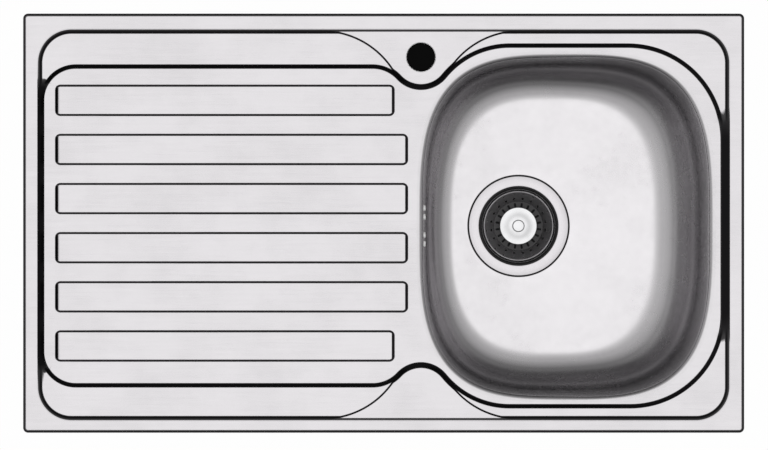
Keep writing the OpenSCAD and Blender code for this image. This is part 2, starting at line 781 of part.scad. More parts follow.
// The cup has a rolled rim, a tapering wall with two rings of holes and a floor with one ring of slots.
// Its middle turns on the stem.
module basket_cup() {
    floor_top = basket_floor_z + basket_t;
    taper = atan2(basket_in - basket_floor_r, basket_rim_z - basket_t - floor_top);
    section = [
        [basket_d / 2, basket_rim_z], [basket_in, basket_rim_z], [basket_in, basket_rim_z - basket_t],
        [basket_floor_r, floor_top], [stem_r + fit, floor_top], [stem_r + fit, basket_floor_z],
        [basket_floor_r + basket_t, basket_floor_z], [basket_in + basket_t, basket_rim_z - basket_t],
        [basket_d / 2 - basket_t, basket_rim_z - basket_t],
        [basket_d / 2 - basket_t, basket_rim_z - 3 * basket_t], [basket_d / 2, basket_rim_z - 3 * basket_t]
    ];
    color("gray") at_waste(0) difference() {
        turned(section);
        for (k = [0:basket_holes - 1]) rotate([0, 0, (k + 0.5) * 360 / basket_holes]) {
            translate([cap_d / 2 + floor_hole_gap, -floor_hole_w / 2, basket_floor_z - over])
                cube([floor_hole_l, floor_hole_w, basket_t + 2 * over]);
            translate([basket_floor_r, 0, basket_floor_z]) rotate([0, taper, 0])
                translate([-slot_high / 2, -floor_hole_w / 2, slot_high / 2])
                    cube([slot_high, floor_hole_w, slot_high]);
            translate([basket_in - rim_lip, 0, basket_rim_z - slot_high / 2]) rotate([0, 90 + taper, 0])
                translate([0, 0, -slot_high / 2]) cylinder(d = wall_hole_d, h = slot_high);
        }
    }
}

cap_z = basket_floor_z + basket_t;
cap_h = 5;
cap_edge = 1;
module basket_cap() {
    r = cap_d / 2;
    dish = arc([0, cap_z + cap_edge], r, 0, 90);
    color("white") at_waste(0) turned(concat(
        [[r, cap_z]],
        [for (p = dish) if (p[0] > stem_r + fit)
            [p[0], cap_z + cap_edge + (p[1] - cap_z - cap_edge) * cap_h / r]],
        [[stem_r + fit, cap_z + cap_edge + cap_h], [stem_r + fit, cap_z]]
    ));
}

knob_z = cap_z + cap_edge + cap_h;
neck_h = 3;
knob_h = 7;
knob_wall = 1.5;
module basket_knob() {
    r = knob_d / 2;
    neck_r = stem_r + knob_wall;
    crown = arc([r - knob_wall, knob_z + neck_h + knob_h - knob_wall], knob_wall, 0, 90);
    color("silver") at_waste(0) difference() {
        turned(concat(
            [[0, knob_z], [neck_r, knob_z], [neck_r, knob_z + neck_h], [r, knob_z + neck_h + knob_wall]],
            crown,
            [[0, knob_z + neck_h + knob_h]]
        ));
        translate([0, 0, knob_z - over]) cylinder(r = stem_r + fit, h = neck_h + knob_h / 2 + over);
    }
}

stem_top = knob_z + neck_h + knob_h / 2 - gap;
clip_t = 1.5;
stem_foot = dish_floor + dish_t + screw_head_t + gap;
module basket_stem() {
    color("silver") at_waste(0) translate([0, 0, stem_foot]) cylinder(r = stem_r, h = stem_top - stem_foot);
}

// The seal is a rubber ring under the basket's floor, with room for the central screw's head
module basket_seal() {
    color([0.12, 0.12, 0.12]) at_waste(0)
        ring(screw_head_d / 2 + 2 * gap + clip_t, seal_r, seat_z, basket_floor_z - gap);
}

// The clip grips the stem's foot and holds the seal up against the basket
module stem_clip() {
    outer = screw_head_d / 2 + 2 * gap + clip_t;
    color("white") at_waste(0) turned([
        [outer, seat_z], [outer, basket_floor_z - gap], [stem_r, basket_floor_z - gap], [stem_r, stem_foot],
        [outer - clip_t, stem_foot], [outer - clip_t, seat_z]
    ]);
}

// Overflow

head_side = 5;
head_lip = 7;
head_w = 4 * slot_pitch + slot_w + 2 * head_side;
head_l = slot_h + 2 * head_lip;
head_wall = 2.5;
head_r = 4;
gasket_w = 3.5;
overflow_gasket_t = 1.5;
boss_r = 4.5;
head_face = sheet_t + overflow_gasket_t;

module overflow_gasket() {
    color("dimgray") on_overflow() difference() {
        bar(sheet_t + fit, overflow_gasket_t - 2 * fit, head_w, head_l, head_r);
        bar(0, head_face + over, head_w - 2 * gasket_w, head_l - 2 * gasket_w, head_r / 2);
    }
}

// Spigots, nuts and washers share one section, and are placed upright at the head and lying at the body
spigot_l = 16;
spigot_r = pipe_d / 2 + thread_wall;
nut_wall = 3.5;
nut_gap = 1.5;
nut_r = spigot_r + nut_wall;
washer_l = 4;
nut_lip = 1.5;
nut_l = spigot_l / 2 + washer_l + nut_lip;
pipe_x = slot_x - sheet_t - nut_gap - nut_r;
head_d = slot_x - pipe_x + spigot_r - head_face;
head_low = slot_z - head_l / 2;
spigot_end = head_low - spigot_l;

// The head is a shallow box on the outside of the bowl's wall, with a boss for its screw and a spigot below
module overflow_head() {
    color("white") difference() {
        union() {
            on_overflow() bar(head_face, head_d, head_w, head_l, head_r);
            translate([pipe_x, bowl_y, spigot_end]) cylinder(r = spigot_r, h = spigot_l + head_wall);
        }
        difference() {
            on_overflow() bar(head_face - over, head_d - head_wall + over, head_w - 2 * head_wall,
                head_l - 2 * head_wall, head_r / 2);
            on_overflow() rotate([0, 90, 0]) cylinder(r = boss_r, h = head_face + head_d);
        }
        translate([pipe_x, bowl_y, spigot_end - over])
            cylinder(d = pipe_d + 2 * fit, h = spigot_l + over - head_wall);
        translate([pipe_x, bowl_y, spigot_end])
            cylinder(d = pipe_d - 2 * pipe_wall, h = spigot_l + 2 * head_wall);
        on_overflow() rotate([0, 90, 0]) translate([0, 0, head_face - over])
            cylinder(d = overflow_screw_d + 2 * fit, h = head_d - head_wall + over);
    }
}

module overflow_screw() {
    head_h = overflow_screw_d / 2;
    color("silver") on_overflow() rotate([0, 90, 0]) {
        translate([0, 0, -head_h]) cylinder(r1 = overflow_screw_d * 2 / 3, r2 = overflow_screw_d, h = head_h);
        cylinder(d = overflow_screw_d, h = head_face + head_d - 2 * head_wall);
    }
}

pipe_top = spigot_end + spigot_l - head_wall - gap;
pipe_far = port_end + port_l - gap;
module pipe_section() {
    difference() {
        circle(d = pipe_d);
        circle(d = pipe_d - 2 * pipe_wall);
    }
}

// The pipe drops from the head, bends once and runs level into the waste body's port
module overflow_pipe() {
    color("gainsboro") {
        translate([pipe_x, bowl_y, port_z + pipe_bend])
            linear_extrude(pipe_top - port_z - pipe_bend) pipe_section();
        translate([pipe_x + pipe_bend, bowl_y, port_z + pipe_bend]) rotate([90, 0, 0])
            rotate_extrude(angle = 90, start = 180) translate([pipe_bend, 0]) pipe_section();
        translate([pipe_x + pipe_bend, bowl_y, port_z]) rotate([0, 90, 0])
            linear_extrude(pipe_far - pipe_x - pipe_bend) pipe_section();
    }
}

// A compression nut that screws up over a spigot ending at z = 0, with the pipe running down through it
module pipe_nut() {
    low = -washer_l - nut_lip;
    difference() {
        translate([0, 0, low]) cylinder(r = nut_r, h = nut_l, $fn = 12);
        translate([0, 0, low - over]) cylinder(d = pipe_d + 2 * gap, h = nut_l);
        translate([0, 0, -washer_l]) cylinder(r = spigot_r + fit, h = nut_l);
    }
}

module pipe_washer() {
    turned([
        [pipe_d / 2, 0], [pipe_d / 2, -washer_l], [spigot_r - gap, -washer_l], [spigot_r - thread_wall / 3, 0]
    ]);
}

module at_head_spigot() {
    translate([pipe_x, bowl_y, spigot_end]) children();
}

module at_body_port() {
    translate([port_end, waste_y, port_z]) rotate([0, 90, 0]) children();
}

module head_nut() {
    color("white") at_head_spigot() pipe_nut();
}

module head_washer() {
    color("dimgray") at_head_spigot() pipe_washer();
}

module body_nut() {
    color("white") at_body_port() pipe_nut();
}

module body_washer() {
    color("dimgray") at_body_port() pipe_washer();
}

deck();
bowl();
rim_seal();
tap_stiffener();
sound_pad();
hanger_brackets();
weld_nuts();
flange_seal();
strainer_dish();
body_gasket();
waste_body();
insert_nut();
waste_screw();
basket_cup();
basket_cap();
basket_knob();
basket_stem();
basket_seal();
stem_clip();
overflow_gasket();
overflow_head();
overflow_screw();
overflow_pipe();
head_nut();
head_washer();
body_nut();
body_washer();
for (i = clamp_numbers) clamp_washer(i);
for (i = clamp_numbers) clamp_claw(i);
for (i = clamp_numbers) clamp_screw(i);
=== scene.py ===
# %% [markdown]
# # An inset kitchen sink with a drainboard
#
# The object is one sheet of stainless steel, pressed into a rim, terraces, a ribbed drainer and a tap
# ledge, with a deep-drawn bowl welded in. A strainer waste, an overflow and eight worktop clamps hang
# underneath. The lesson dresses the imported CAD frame: it replaces the pieces whose curves matter with finer
# meshes, and gives every other piece a material of its own.

# %% Loading the frame
import json
import math

import bpy
import numpy as np
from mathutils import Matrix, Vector
from mathutils.geometry import delaunay_2d_cdt


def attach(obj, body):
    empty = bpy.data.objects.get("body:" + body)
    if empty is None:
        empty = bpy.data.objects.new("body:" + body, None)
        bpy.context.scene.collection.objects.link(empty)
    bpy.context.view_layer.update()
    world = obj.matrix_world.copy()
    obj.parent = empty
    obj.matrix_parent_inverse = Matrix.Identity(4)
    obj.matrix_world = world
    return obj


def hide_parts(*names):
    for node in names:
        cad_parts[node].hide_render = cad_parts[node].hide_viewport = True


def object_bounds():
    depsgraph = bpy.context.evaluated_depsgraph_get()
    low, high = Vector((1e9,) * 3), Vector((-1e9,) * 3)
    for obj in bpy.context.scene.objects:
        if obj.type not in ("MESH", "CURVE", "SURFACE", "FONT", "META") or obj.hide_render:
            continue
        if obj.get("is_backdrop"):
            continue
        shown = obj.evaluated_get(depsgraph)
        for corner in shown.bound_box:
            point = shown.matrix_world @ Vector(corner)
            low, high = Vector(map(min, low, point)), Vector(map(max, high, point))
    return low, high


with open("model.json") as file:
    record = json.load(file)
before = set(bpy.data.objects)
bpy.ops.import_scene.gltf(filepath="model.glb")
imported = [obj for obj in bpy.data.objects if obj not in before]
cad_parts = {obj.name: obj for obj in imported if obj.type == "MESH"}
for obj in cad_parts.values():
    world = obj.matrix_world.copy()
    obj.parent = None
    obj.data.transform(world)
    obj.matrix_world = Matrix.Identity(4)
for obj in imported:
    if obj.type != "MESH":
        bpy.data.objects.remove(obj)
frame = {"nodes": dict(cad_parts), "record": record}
cad_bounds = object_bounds()
nodes = frame["nodes"]
MM = 0.001

# %% [markdown]
# ## The camera
#
# The photograph looks straight down, with no perspective to speak of. A long lens far above the sink gives
# that view and keeps its scale all over the picture: 768 pixels cover the same width at every height.

# %% Camera
VIEW_WIDTH = 0.9160
VIEW_CENTRE = (0.0004, -0.0022)
CAMERA_HEIGHT = 22.0
SENSOR = 36.0

lens = bpy.data.cameras.new("camera")
lens.sensor_width = SENSOR
lens.lens = SENSOR * CAMERA_HEIGHT / VIEW_WIDTH
lens.clip_start = 0.5
lens.clip_end = 100.0
camera = bpy.data.objects.new("camera", lens)
camera.location = (*VIEW_CENTRE, CAMERA_HEIGHT)
bpy.context.scene.collection.objects.link(camera)
bpy.context.scene.camera = camera
bpy.context.scene.view_settings.view_transform = "Standard"
print("lens", round(lens.lens), "mm")

# %% [markdown]
# ## Outlines as chains of arcs
#
# Every line that the press leaves in the sheet is a chain of arcs joined by straight runs. Each outline
# here is a list of arcs, (x, y, radius, start angle, end angle), walked clockwise, so an arc whose angle
# falls bulges out and one whose angle rises bulges in. One list then gives the outline's points at any
# offset and the distance from any point to it. Curves drawn by hand would give neither. All sizes are in
# millimetres.

# %% Points of an outline
ARC_STEP, FINE_ARC_STEP = 3.0, 1.5


def box_arcs(x0, y0, x1, y1, r):
    """The four corner arcs of a rounded box."""
    return [
        (x0 + r, y1 - r, r, 180, 90),
        (x1 - r, y1 - r, r, 90, 0),
        (x1 - r, y0 + r, r, 0, -90),
        (x0 + r, y0 + r, r, -90, -180),
    ]


def outline(arcs, grow=0.0, step=ARC_STEP):
    """The points of an outline, grown outwards by grow, with one point every step degrees of its arcs."""
    points = []
    for x, y, r, start, end in arcs:
        radius = r + grow if end < start else r - grow
        angles = np.radians(np.linspace(start, end, math.ceil(abs(end - start) / step) + 1))
        points.append(np.column_stack([x + radius * np.cos(angles), y + radius * np.sin(angles)]))
    return np.vstack(points)


def inside(points, loop):
    """True for each point that lies inside a closed loop of points."""
    x, y = points[:, :1], points[:, 1:]
    a, b = loop, np.roll(loop, -1, axis=0)
    rise = b[:, 1] - a[:, 1]
    divisor = np.where(rise == 0, 1.0, rise)
    cross = a[:, 0] + (y - a[:, 1]) * (b[:, 0] - a[:, 0]) / divisor
    return (((a[:, 1] > y) != (b[:, 1] > y)) & (x < cross)).sum(axis=1) % 2 == 1


square = box_arcs(-10, -10, 10, 10, 2)
print("a rounded square has", len(outline(square)), "points")

# %% [markdown]
# The distance to an outline is the least of the distances to its arcs and to the straight runs between
# them. It gets a sign from the test above, so one number says how far a point is inside or outside.

# %% Distance to an outline
TINY = 1e-9


def distance(points, arcs):
    """Distance from each point to a closed outline."""
    best = np.full(len(points), np.inf)
    ends = []
    for x, y, r, start, end in arcs:
        low, high = min(start, end), max(start, end)
        offset = points - (x, y)
        turned = (np.degrees(np.arctan2(offset[:, 1], offset[:, 0])) - low) % 360
        gap = np.abs(np.hypot(offset[:, 0], offset[:, 1]) - r)
        best = np.where(turned <= high - low, np.minimum(best, gap), best)
        angles = np.radians([start, end])
        ends.append(np.column_stack([x + r * np.cos(angles), y + r * np.sin(angles)]))
    for (_, a), (b, _) in zip(ends, ends[1:] + ends[:1]):
        way = b - a
        share = np.clip(((points - a) @ way) / max(way @ way, TINY), 0, 1)
        best = np.minimum(best, np.linalg.norm(points - a - share[:, None] * way, axis=1))
    return best


def signed(points, arcs):
    """Distance from each point to a closed outline, negative inside it."""
    return np.where(inside(points, outline(arcs, step=FINE_ARC_STEP)), -1, 1) * distance(points, arcs)


print("the middle of the square is at", signed(np.zeros((1, 2)), square)[0], "mm from its edge")

# %% [markdown]
# ## The outlines of this sink
#
# The rim and the well are rounded boxes. The recess, which holds the drainer and the bowl, runs round the
# tap ledge at the back and round a swell of the same shape at the front, and joins each by fillets. A
# fillet's centre follows from the two lines it touches, so only radii and edges are given.

# %% Rim, well and recess
SHEET = 0.8
LENGTH, WIDTH, CORNER = 860.0, 500.0, 6.0
WELL_X, WELL_BACK, WELL_FRONT, WELL_R = 410.3, 229.1, -233.1, 38.0
RECESS_LEFT, RECESS_RIGHT = -407.3, 404.3
DRAINER_BACK, DRAINER_FRONT, DRAINER_R = 186.8, -193.4, 40.0
SURROUND_BACK, SURROUND_FRONT, CORNER_BACK_R, CORNER_FRONT_R = 211.8, -218.4, 113.0, 110.0
TAP_X, TAP_Y, TAP_R, SWELL_Y = 44.5, 198.0, 17.5, -204.9
LEDGE_R, DRAINER_FILLET, SURROUND_FILLET = 36.5, 42.0, 100.0


def heading(a, b):
    """Direction from point a to point b, from 0 to 360 degrees."""
    return math.degrees(math.atan2(b[1] - a[1], b[0] - a[0])) % 360


def fillet(centre, radius, edge, side, up):
    """Centre of a fillet between the line y = edge and the round ledge about centre.
    side is 1 to the right of the ledge, and up is 1 below a back edge and -1 above a front one."""
    y = edge - up * radius
    return centre[0] + side * math.sqrt((LEDGE_R + radius) ** 2 - (y - centre[1]) ** 2), y


tap = (TAP_X, TAP_Y)
swell = (TAP_X, SWELL_Y)
rim = box_arcs(-LENGTH / 2, -WIDTH / 2, LENGTH / 2, WIDTH / 2, CORNER)
well = box_arcs(-WELL_X, WELL_FRONT, WELL_X, WELL_BACK, WELL_R)
back_l = fillet(tap, DRAINER_FILLET, DRAINER_BACK, -1, 1)
back_r = fillet(tap, SURROUND_FILLET, SURROUND_BACK, 1, 1)
front_l = fillet(swell, DRAINER_FILLET, DRAINER_FRONT, -1, -1)
front_r = fillet(swell, SURROUND_FILLET, SURROUND_FRONT, 1, -1)
recess = [
    (RECESS_LEFT + DRAINER_R, DRAINER_BACK - DRAINER_R, DRAINER_R, 180, 90),
    (*back_l, DRAINER_FILLET, 90, heading(back_l, tap)),
    (*tap, LEDGE_R, heading(tap, back_l), heading(tap, back_r)),
    (*back_r, SURROUND_FILLET, heading(back_r, tap), 90),
    (RECESS_RIGHT - CORNER_BACK_R, SURROUND_BACK - CORNER_BACK_R, CORNER_BACK_R, 90, 0),
    (RECESS_RIGHT - CORNER_FRONT_R, SURROUND_FRONT + CORNER_FRONT_R, CORNER_FRONT_R, 360, 270),
    (*front_r, SURROUND_FILLET, 270, heading(front_r, swell)),
    (*swell, LEDGE_R, heading(swell, front_r), heading(swell, front_l)),
    (*front_l, DRAINER_FILLET, heading(front_l, swell), 270),
    (RECESS_LEFT + DRAINER_R, DRAINER_FRONT + DRAINER_R, DRAINER_R, 270, 180),
]
print("arcs of the recess:", len(recess))

# %% [markdown]
# The ledge and the swell run out under the flat rim, where nothing of their outlines shows. The six ribs of
# the drainer are plain boxes with small corners, and the first and the last are shorter.

# %% Ledge, swell, tap hole and ribs
UNDER_RIM, FLANK_R = 8.0, 100.0
RIB_COUNT, RIB_PITCH, RIB_W, RIB_R = 6, 58.6, 35.0, 5.5
RIB_LEFT, RIB_RIGHT, RIB_SHORT = -391.0, 28.0, 16.0

ledge_l = fillet(tap, FLANK_R, WELL_BACK, -1, 1)
ledge_e = fillet(tap, FLANK_R, WELL_BACK, 1, 1)
ledge = [
    (*ledge_e, FLANK_R, 90, heading(ledge_e, tap)),
    (*tap, LEDGE_R, heading(tap, ledge_e), heading(tap, ledge_l)),
    (*ledge_l, FLANK_R, heading(ledge_l, tap), 90),
    (ledge_l[0], WELL_BACK + UNDER_RIM, 0, 0, 0),
    (ledge_e[0], WELL_BACK + UNDER_RIM, 0, 0, 0),
]
swell_l = fillet(swell, FLANK_R, WELL_FRONT, -1, -1)
swell_e = fillet(swell, FLANK_R, WELL_FRONT, 1, -1)
front_swell = [
    (*swell_l, FLANK_R, 270, heading(swell_l, swell)),
    (*swell, LEDGE_R, heading(swell, swell_l), heading(swell, swell_e)),
    (*swell_e, FLANK_R, heading(swell_e, swell), 270),
    (swell_e[0], WELL_FRONT - UNDER_RIM, 0, 0, 0),
    (swell_l[0], WELL_FRONT - UNDER_RIM, 0, 0, 0),
]
tap_hole = [(*tap, TAP_R, 360, 0)]


def rib_box(i):
    """Corners of rib i. The first and the last rib are the short ones."""
    y = (i - (RIB_COUNT - 1) / 2) * RIB_PITCH
    right = RIB_RIGHT - (RIB_SHORT if i in (0, RIB_COUNT - 1) else 0)
    return RIB_LEFT, y - RIB_W / 2, right, y + RIB_W / 2


ribs = [rib_box(i) for i in range(RIB_COUNT)]
print("ribs:", len(ribs), "from", RIB_LEFT, "to", RIB_RIGHT)

# %% [markdown]
# ## The pressed deck as a height
#
# Seen from above, the deck has one height at each point, so the whole pressing is a function: start from
# the terraces, raise the ledge, the rim and the ribs out of them by ramps, and sink the recess. Where two
# steps run together, as they do beside the tap, the function still gives one clean surface, which is hard
# to model by hand. First come the ways in which heights join: a smooth minimum or maximum, as round as the
# press leaves it, a rim that is steep at its foot, and a single ramp for where two steps merge.

# %% Joining heights
RIM_Z, LEDGE_Z, TERRACE_Z, FLOOR_Z, RIB_Z = 4.0, 3.1, 1.0, -4.0, -0.5
RIM_RUN, RIM_POWER, RIM_ROUND = 5.2, 1.8, 0.25
RECESS_RUN, RECESS_SLOPE = 4.2, 1.19
ROUND = 0.8


def smooth_min(a, b, k=ROUND):
    h = np.clip(0.5 + 0.5 * (b - a) / k, 0, 1)
    return b + (a - b) * h - k * h * (1 - h)


def smooth_max(a, b, k=ROUND):
    return -smooth_min(-a, -b, k)


def rim_share(across):
    """Share of the rim's step that is climbed, steep at its foot and easing off at its top."""
    climbed = 1 - np.maximum(1 - across, 0) ** RIM_POWER
    return np.where(across < 0, RIM_POWER * across, climbed + np.maximum(across - 1, 0))


def one_step(to_well, to_recess):
    """Height of a single ramp from the recess up to the rim, for where the two outlines run side by side."""
    below, above = to_recess + RECESS_RUN / 2, RIM_RUN / 2 - to_well
    share = below / np.maximum(below + above, 1)
    z = np.where(above < 0, RIM_Z + ROUND, FLOOR_Z + (RIM_Z - FLOOR_Z) * share)
    z = np.where(below < 0, FLOOR_Z - ROUND, z)
    return smooth_min(np.full(len(z), RIM_Z), smooth_max(np.full(len(z), FLOOR_Z), z))


print("half way over its step, the rim has climbed a share of", rim_share(np.array([0.5])).round(2)[0])

# %% [markdown]
# With these joins, the height of the deck is read off step by step, from the outside in. The ribs rise from
# the floor of the recess with their own slopes at their sides and ends. The normals come from the slope of
# the same function, so the light runs over the steps without facets.

# %% Height of the pressing
FLANK_RUN, FLANK_SLOPE = 1.4, 1.5
RIB_RUN, RIB_SLOPE = 1.6, 2.19
RIB_END_RUN, RIB_END_SLOPE = 2.6, 1.35
RIB_START_RUN, RIB_START_SLOPE = 3.2, 1.09
MERGE_GAP, MERGE_BLEND = 11.0, 3.0
SLOPE_REACH = 0.02


def box_distance(points, corners, r):
    x0, y0, x1, y1 = corners
    q = np.abs(points - ((x0 + x1) / 2, (y0 + y1) / 2)) - ((x1 - x0) / 2 - r, (y1 - y0) / 2 - r)
    return np.linalg.norm(np.maximum(q, 0), axis=1) + np.minimum(q.max(axis=1), 0) - r


def rib_height(points, corners):
    """Height of one rib, which has slopes of its own at its sides, its start and its end."""
    side = FLOOR_Z + (RIB_RUN / 2 - box_distance(points, corners, RIB_R)) * RIB_SLOPE
    start = FLOOR_Z + (points[:, 0] - corners[0] + RIB_RUN / 2) * RIB_START_SLOPE
    end = FLOOR_Z + (corners[2] + RIB_RUN / 2 - points[:, 0]) * RIB_END_SLOPE
    return smooth_min(np.full(len(points), RIB_Z), smooth_min(side, smooth_min(start, end)))


def deck_height(points):
    """Height of the deck's upper face above the worktop at each point, in millimetres."""
    z = np.full(len(points), TERRACE_Z)
    for arcs in (ledge, front_swell):
        ramp = TERRACE_Z + (FLANK_RUN / 2 - signed(points, arcs)) * FLANK_SLOPE
        z = smooth_max(z, smooth_min(np.full(len(points), LEDGE_Z), ramp))
    to_well, to_recess = signed(points, well), signed(points, recess)
    ramp = TERRACE_Z + (RIM_Z - TERRACE_Z) * rim_share(to_well / RIM_RUN + 0.5)
    z = smooth_min(np.full(len(points), RIM_Z), smooth_max(z, ramp), RIM_ROUND)
    ramp = FLOOR_Z + (to_recess + RECESS_RUN / 2) * RECESS_SLOPE
    z = smooth_min(z, ramp)
    merged = np.clip((MERGE_GAP - (to_recess - to_well)) / MERGE_BLEND, 0, 1)
    z += (one_step(to_well, to_recess) - z) * merged
    low = np.full(len(points), FLOOR_Z)
    for corners in ribs:
        low = smooth_max(low, rib_height(points, corners))
    return smooth_max(z, low)


def deck_normals(points):
    """Unit normals of that height, from its slope each way."""
    across = [deck_height(points + (s * SLOPE_REACH, 0)) for s in (1, -1)]
    along = [deck_height(points + (0, s * SLOPE_REACH)) for s in (1, -1)]
    run = np.full(len(points), 2 * SLOPE_REACH)
    slope = np.column_stack([across[1] - across[0], along[1] - along[0], run])
    return slope / np.linalg.norm(slope, axis=1)[:, None]


print("height of the tap ledge:", deck_height(np.array([tap])).round(3)[0], "mm")

# %% [markdown]
# ## Marks for the painted reflections
#
# The steel's painted dark reflection follows where the sheet bends. A shader sees only its own point, so each
# mesh carries two attributes that say how its faces lie there.

# %% Marks for the painted reflections
def mark_bends(mesh):
    """Writes at each corner of the faces how steep the sheet is, 0 where it is level and 1 where it is
    upright, and how far it faces the front or the back."""
    facing = np.empty(3 * len(mesh.loops))
    mesh.corner_normals.foreach_get("vector", facing)
    steep = np.hypot(facing[0::3], facing[1::3])
    for name, values in (("bend", steep), ("end_wall", np.abs(facing[1::3]))):
        mesh.attributes.new(name, "FLOAT", "CORNER").data.foreach_set("value", values)


# %% [markdown]
# ## From points to a mesh
#
# A shell gathers loops and faces, welds the points that coincide, and becomes a mesh. It can carry a normal
# for every corner, which keeps the wide flats flat right up to small rounds, where averaged normals would
# not. Without them, the mesh is shaded smooth except along edges sharper than an angle.

# %% Shells
WELD = 2e-6


class Shell:
    """Faces, some with a normal at each corner, in millimetres."""

    def __init__(self):
        self.points, self.normals, self.faces, self.count = [], [], [], 0

    def add(self, points, normals, faces):
        self.points.append(points)
        self.normals.append(normals)
        self.faces.append(np.asarray(faces) + self.count)
        self.count += len(points)

    def strip(self, loops, normals=None):
        """Quads between neighbouring clockwise loops. They face up where the loops grow outwards."""
        rings, sides = len(loops), len(loops[0])
        i, k = np.meshgrid(np.arange(sides), np.arange(rings - 1))
        a, b = k * sides + i, k * sides + (i + 1) % sides
        quads = np.stack([a, b, b + sides, a + sides], axis=-1).reshape(-1, 4)
        self.add(np.vstack(loops), np.vstack(loops if normals is None else normals), quads)

    def build(self, name, material, sharp=None):
        """The mesh as an object. Where sharp gives an angle in degrees, it replaces the corner normals."""
        points = np.vstack(self.points) * MM
        normals = np.vstack(self.normals)
        _, first, index = np.unique(np.round(points / WELD), axis=0, return_index=True, return_inverse=True)
        index = index.reshape(-1)
        corners, sizes = [], []
        for faces in self.faces:
            for face in faces.tolist():
                ring = [v for n, v in enumerate(face) if index[v] != index[face[n - 1]]]
                if len(ring) > 2:
                    corners += ring
                    sizes.append(len(ring))
        mesh = bpy.data.meshes.new(name)
        mesh.vertices.add(len(first))
        mesh.vertices.foreach_set("co", points[first].ravel())
        mesh.loops.add(len(corners))
        mesh.loops.foreach_set("vertex_index", index[corners])
        mesh.polygons.add(len(sizes))
        mesh.polygons.foreach_set("loop_start", np.concatenate([[0], np.cumsum(sizes)[:-1]]))
        mesh.update(calc_edges=True)
        mesh.shade_smooth()
        if sharp:
            mesh.set_sharp_from_angle(angle=math.radians(sharp))
        else:
            mesh.normals_split_custom_set(normals[corners])
        mesh.materials.append(material)
        mark_bends(mesh)
        piece = bpy.data.objects.new(name, mesh)
        bpy.context.scene.collection.objects.link(piece)
        print(name, "vertices", len(mesh.vertices), "faces", len(mesh.polygons))
        return piece


def level(loop, z):
    """A flat loop lifted to a height, one for all its points or one for each."""
    return np.column_stack([loop, np.broadcast_to(z, len(loop))])


# %% [markdown]
# ## Nodes from code
#
# Materials and Geometry Nodes are both trees of nodes. One helper adds a node, sets its options, and links
# or sets each of its inputs, so a tree reads from what it is given to what it makes, a line or two for each
# node. The other helpers are the nodes that nearly every tree needs.

# %% Node helpers
def wire(tree, kind, values=(), **settings):
    """Adds a node to a tree. A value that is a socket is linked to its input, and any other is set on it."""
    node = tree.nodes.new(kind)
    for name, value in settings.items():
        setattr(node, name, value)
    for key, value in dict(values).items():
        if isinstance(value, bpy.types.NodeSocket):
            tree.links.new(value, node.inputs[key])
        else:
            node.inputs[key].default_value = value
    return node


def maths(tree, operation, a, b=0.0, c=0.0):
    return wire(tree, "ShaderNodeMath", {0: a, 1: b, 2: c}, operation=operation).outputs[0]


def split(tree, vector):
    """The X, Y and Z of a vector, by name."""
    return wire(tree, "ShaderNodeSeparateXYZ", {0: vector}).outputs


def joined(tree, x=0.0, y=0.0, z=0.0):
    return wire(tree, "ShaderNodeCombineXYZ", {"X": x, "Y": y, "Z": z}).outputs[0]


def ranged(tree, value, start, end, low=0.0, high=1.0):
    """Turns a value from start to end into one from low to high, and holds it beyond them."""
    limits = {"From Min": start, "From Max": end, "To Min": low, "To Max": high}
    return wire(tree, "ShaderNodeMapRange", {"Value": value, **limits}).outputs[0]


# %% [markdown]
# ## Materials from a few parts
#
# Every finish here is made the same way: a pattern on the object's own coordinates varies the colour, the
# roughness and a small bump, and one Principled shader takes them. Values that are the same all over the
# surface are set on the shader itself.

# %% Finish helpers
def node_material(name):
    """A new material, its empty tree, and the place on the object for its patterns."""
    material = bpy.data.materials.new(name)
    material.use_nodes = True
    tree = material.node_tree
    tree.nodes.clear()
    return material, tree, wire(tree, "ShaderNodeTexCoord").outputs["Object"]


def shaded(tree, colour, roughness, normal, **constants):
    """Ends a material in a Principled shader. The constants are set on the shader's own inputs."""
    values = {"Base Color": colour, "Roughness": roughness, "Normal": normal, **constants}
    shader = wire(tree, "ShaderNodeBsdfPrincipled", values)
    wire(tree, "ShaderNodeOutputMaterial", {"Surface": shader.outputs[0]})


def between_colours(tree, share, low, high):
    """Mixes two colours, each a tuple or a socket."""
    low, high = ((*c, 1) if isinstance(c, tuple) else c for c in (low, high))
    return wire(tree, "ShaderNodeMix", {0: share, 6: low, 7: high}, data_type="RGBA").outputs[2]


def between_values(tree, share, low, high):
    return ranged(tree, share, 0.0, 1.0, low, high)


def ramped(tree, share, stops):
    """A value read from stops, (share, value) each, with straight runs between them."""
    node = wire(tree, "ShaderNodeValToRGB", {0: share})
    for n, (at, value) in enumerate(stops):
        stop = node.color_ramp.elements[n] if n < 2 else node.color_ramp.elements.new(at)
        stop.position = at
        stop.color = (value, value, value, 1)
    return node.outputs[0]


def noise(tree, place, scale, detail=2.0, roughness=0.5):
    values = {"Vector": place, "Scale": scale, "Detail": detail, "Roughness": roughness}
    return wire(tree, "ShaderNodeTexNoise", values).outputs["Fac"]


def cells(tree, place, scale):
    """The outputs of a pattern of small cells."""
    return wire(tree, "ShaderNodeTexVoronoi", {"Vector": place, "Scale": scale}, feature="F1").outputs


def bumped(tree, height, depth):
    return wire(tree, "ShaderNodeBump", {"Height": height, "Distance": depth}).outputs[0]


# %% [markdown]
# ## Grain, marks and rings
#
# Brushed steel is a mirror broken into fine lines, so its colour comes from what it reflects and its look
# from the lines. Noise that is stretched along the brushing makes them. Hands and cloths leave soft marks
# on every surface, and a lathe leaves fine rings on turned pieces. More than one finish uses each of these,
# so each is a node group, built once and placed in a material with its own values.

# %% Shared effects
WASTE_X, WASTE_Y = 162.0, -3.3
FINE_SHARE = 0.6


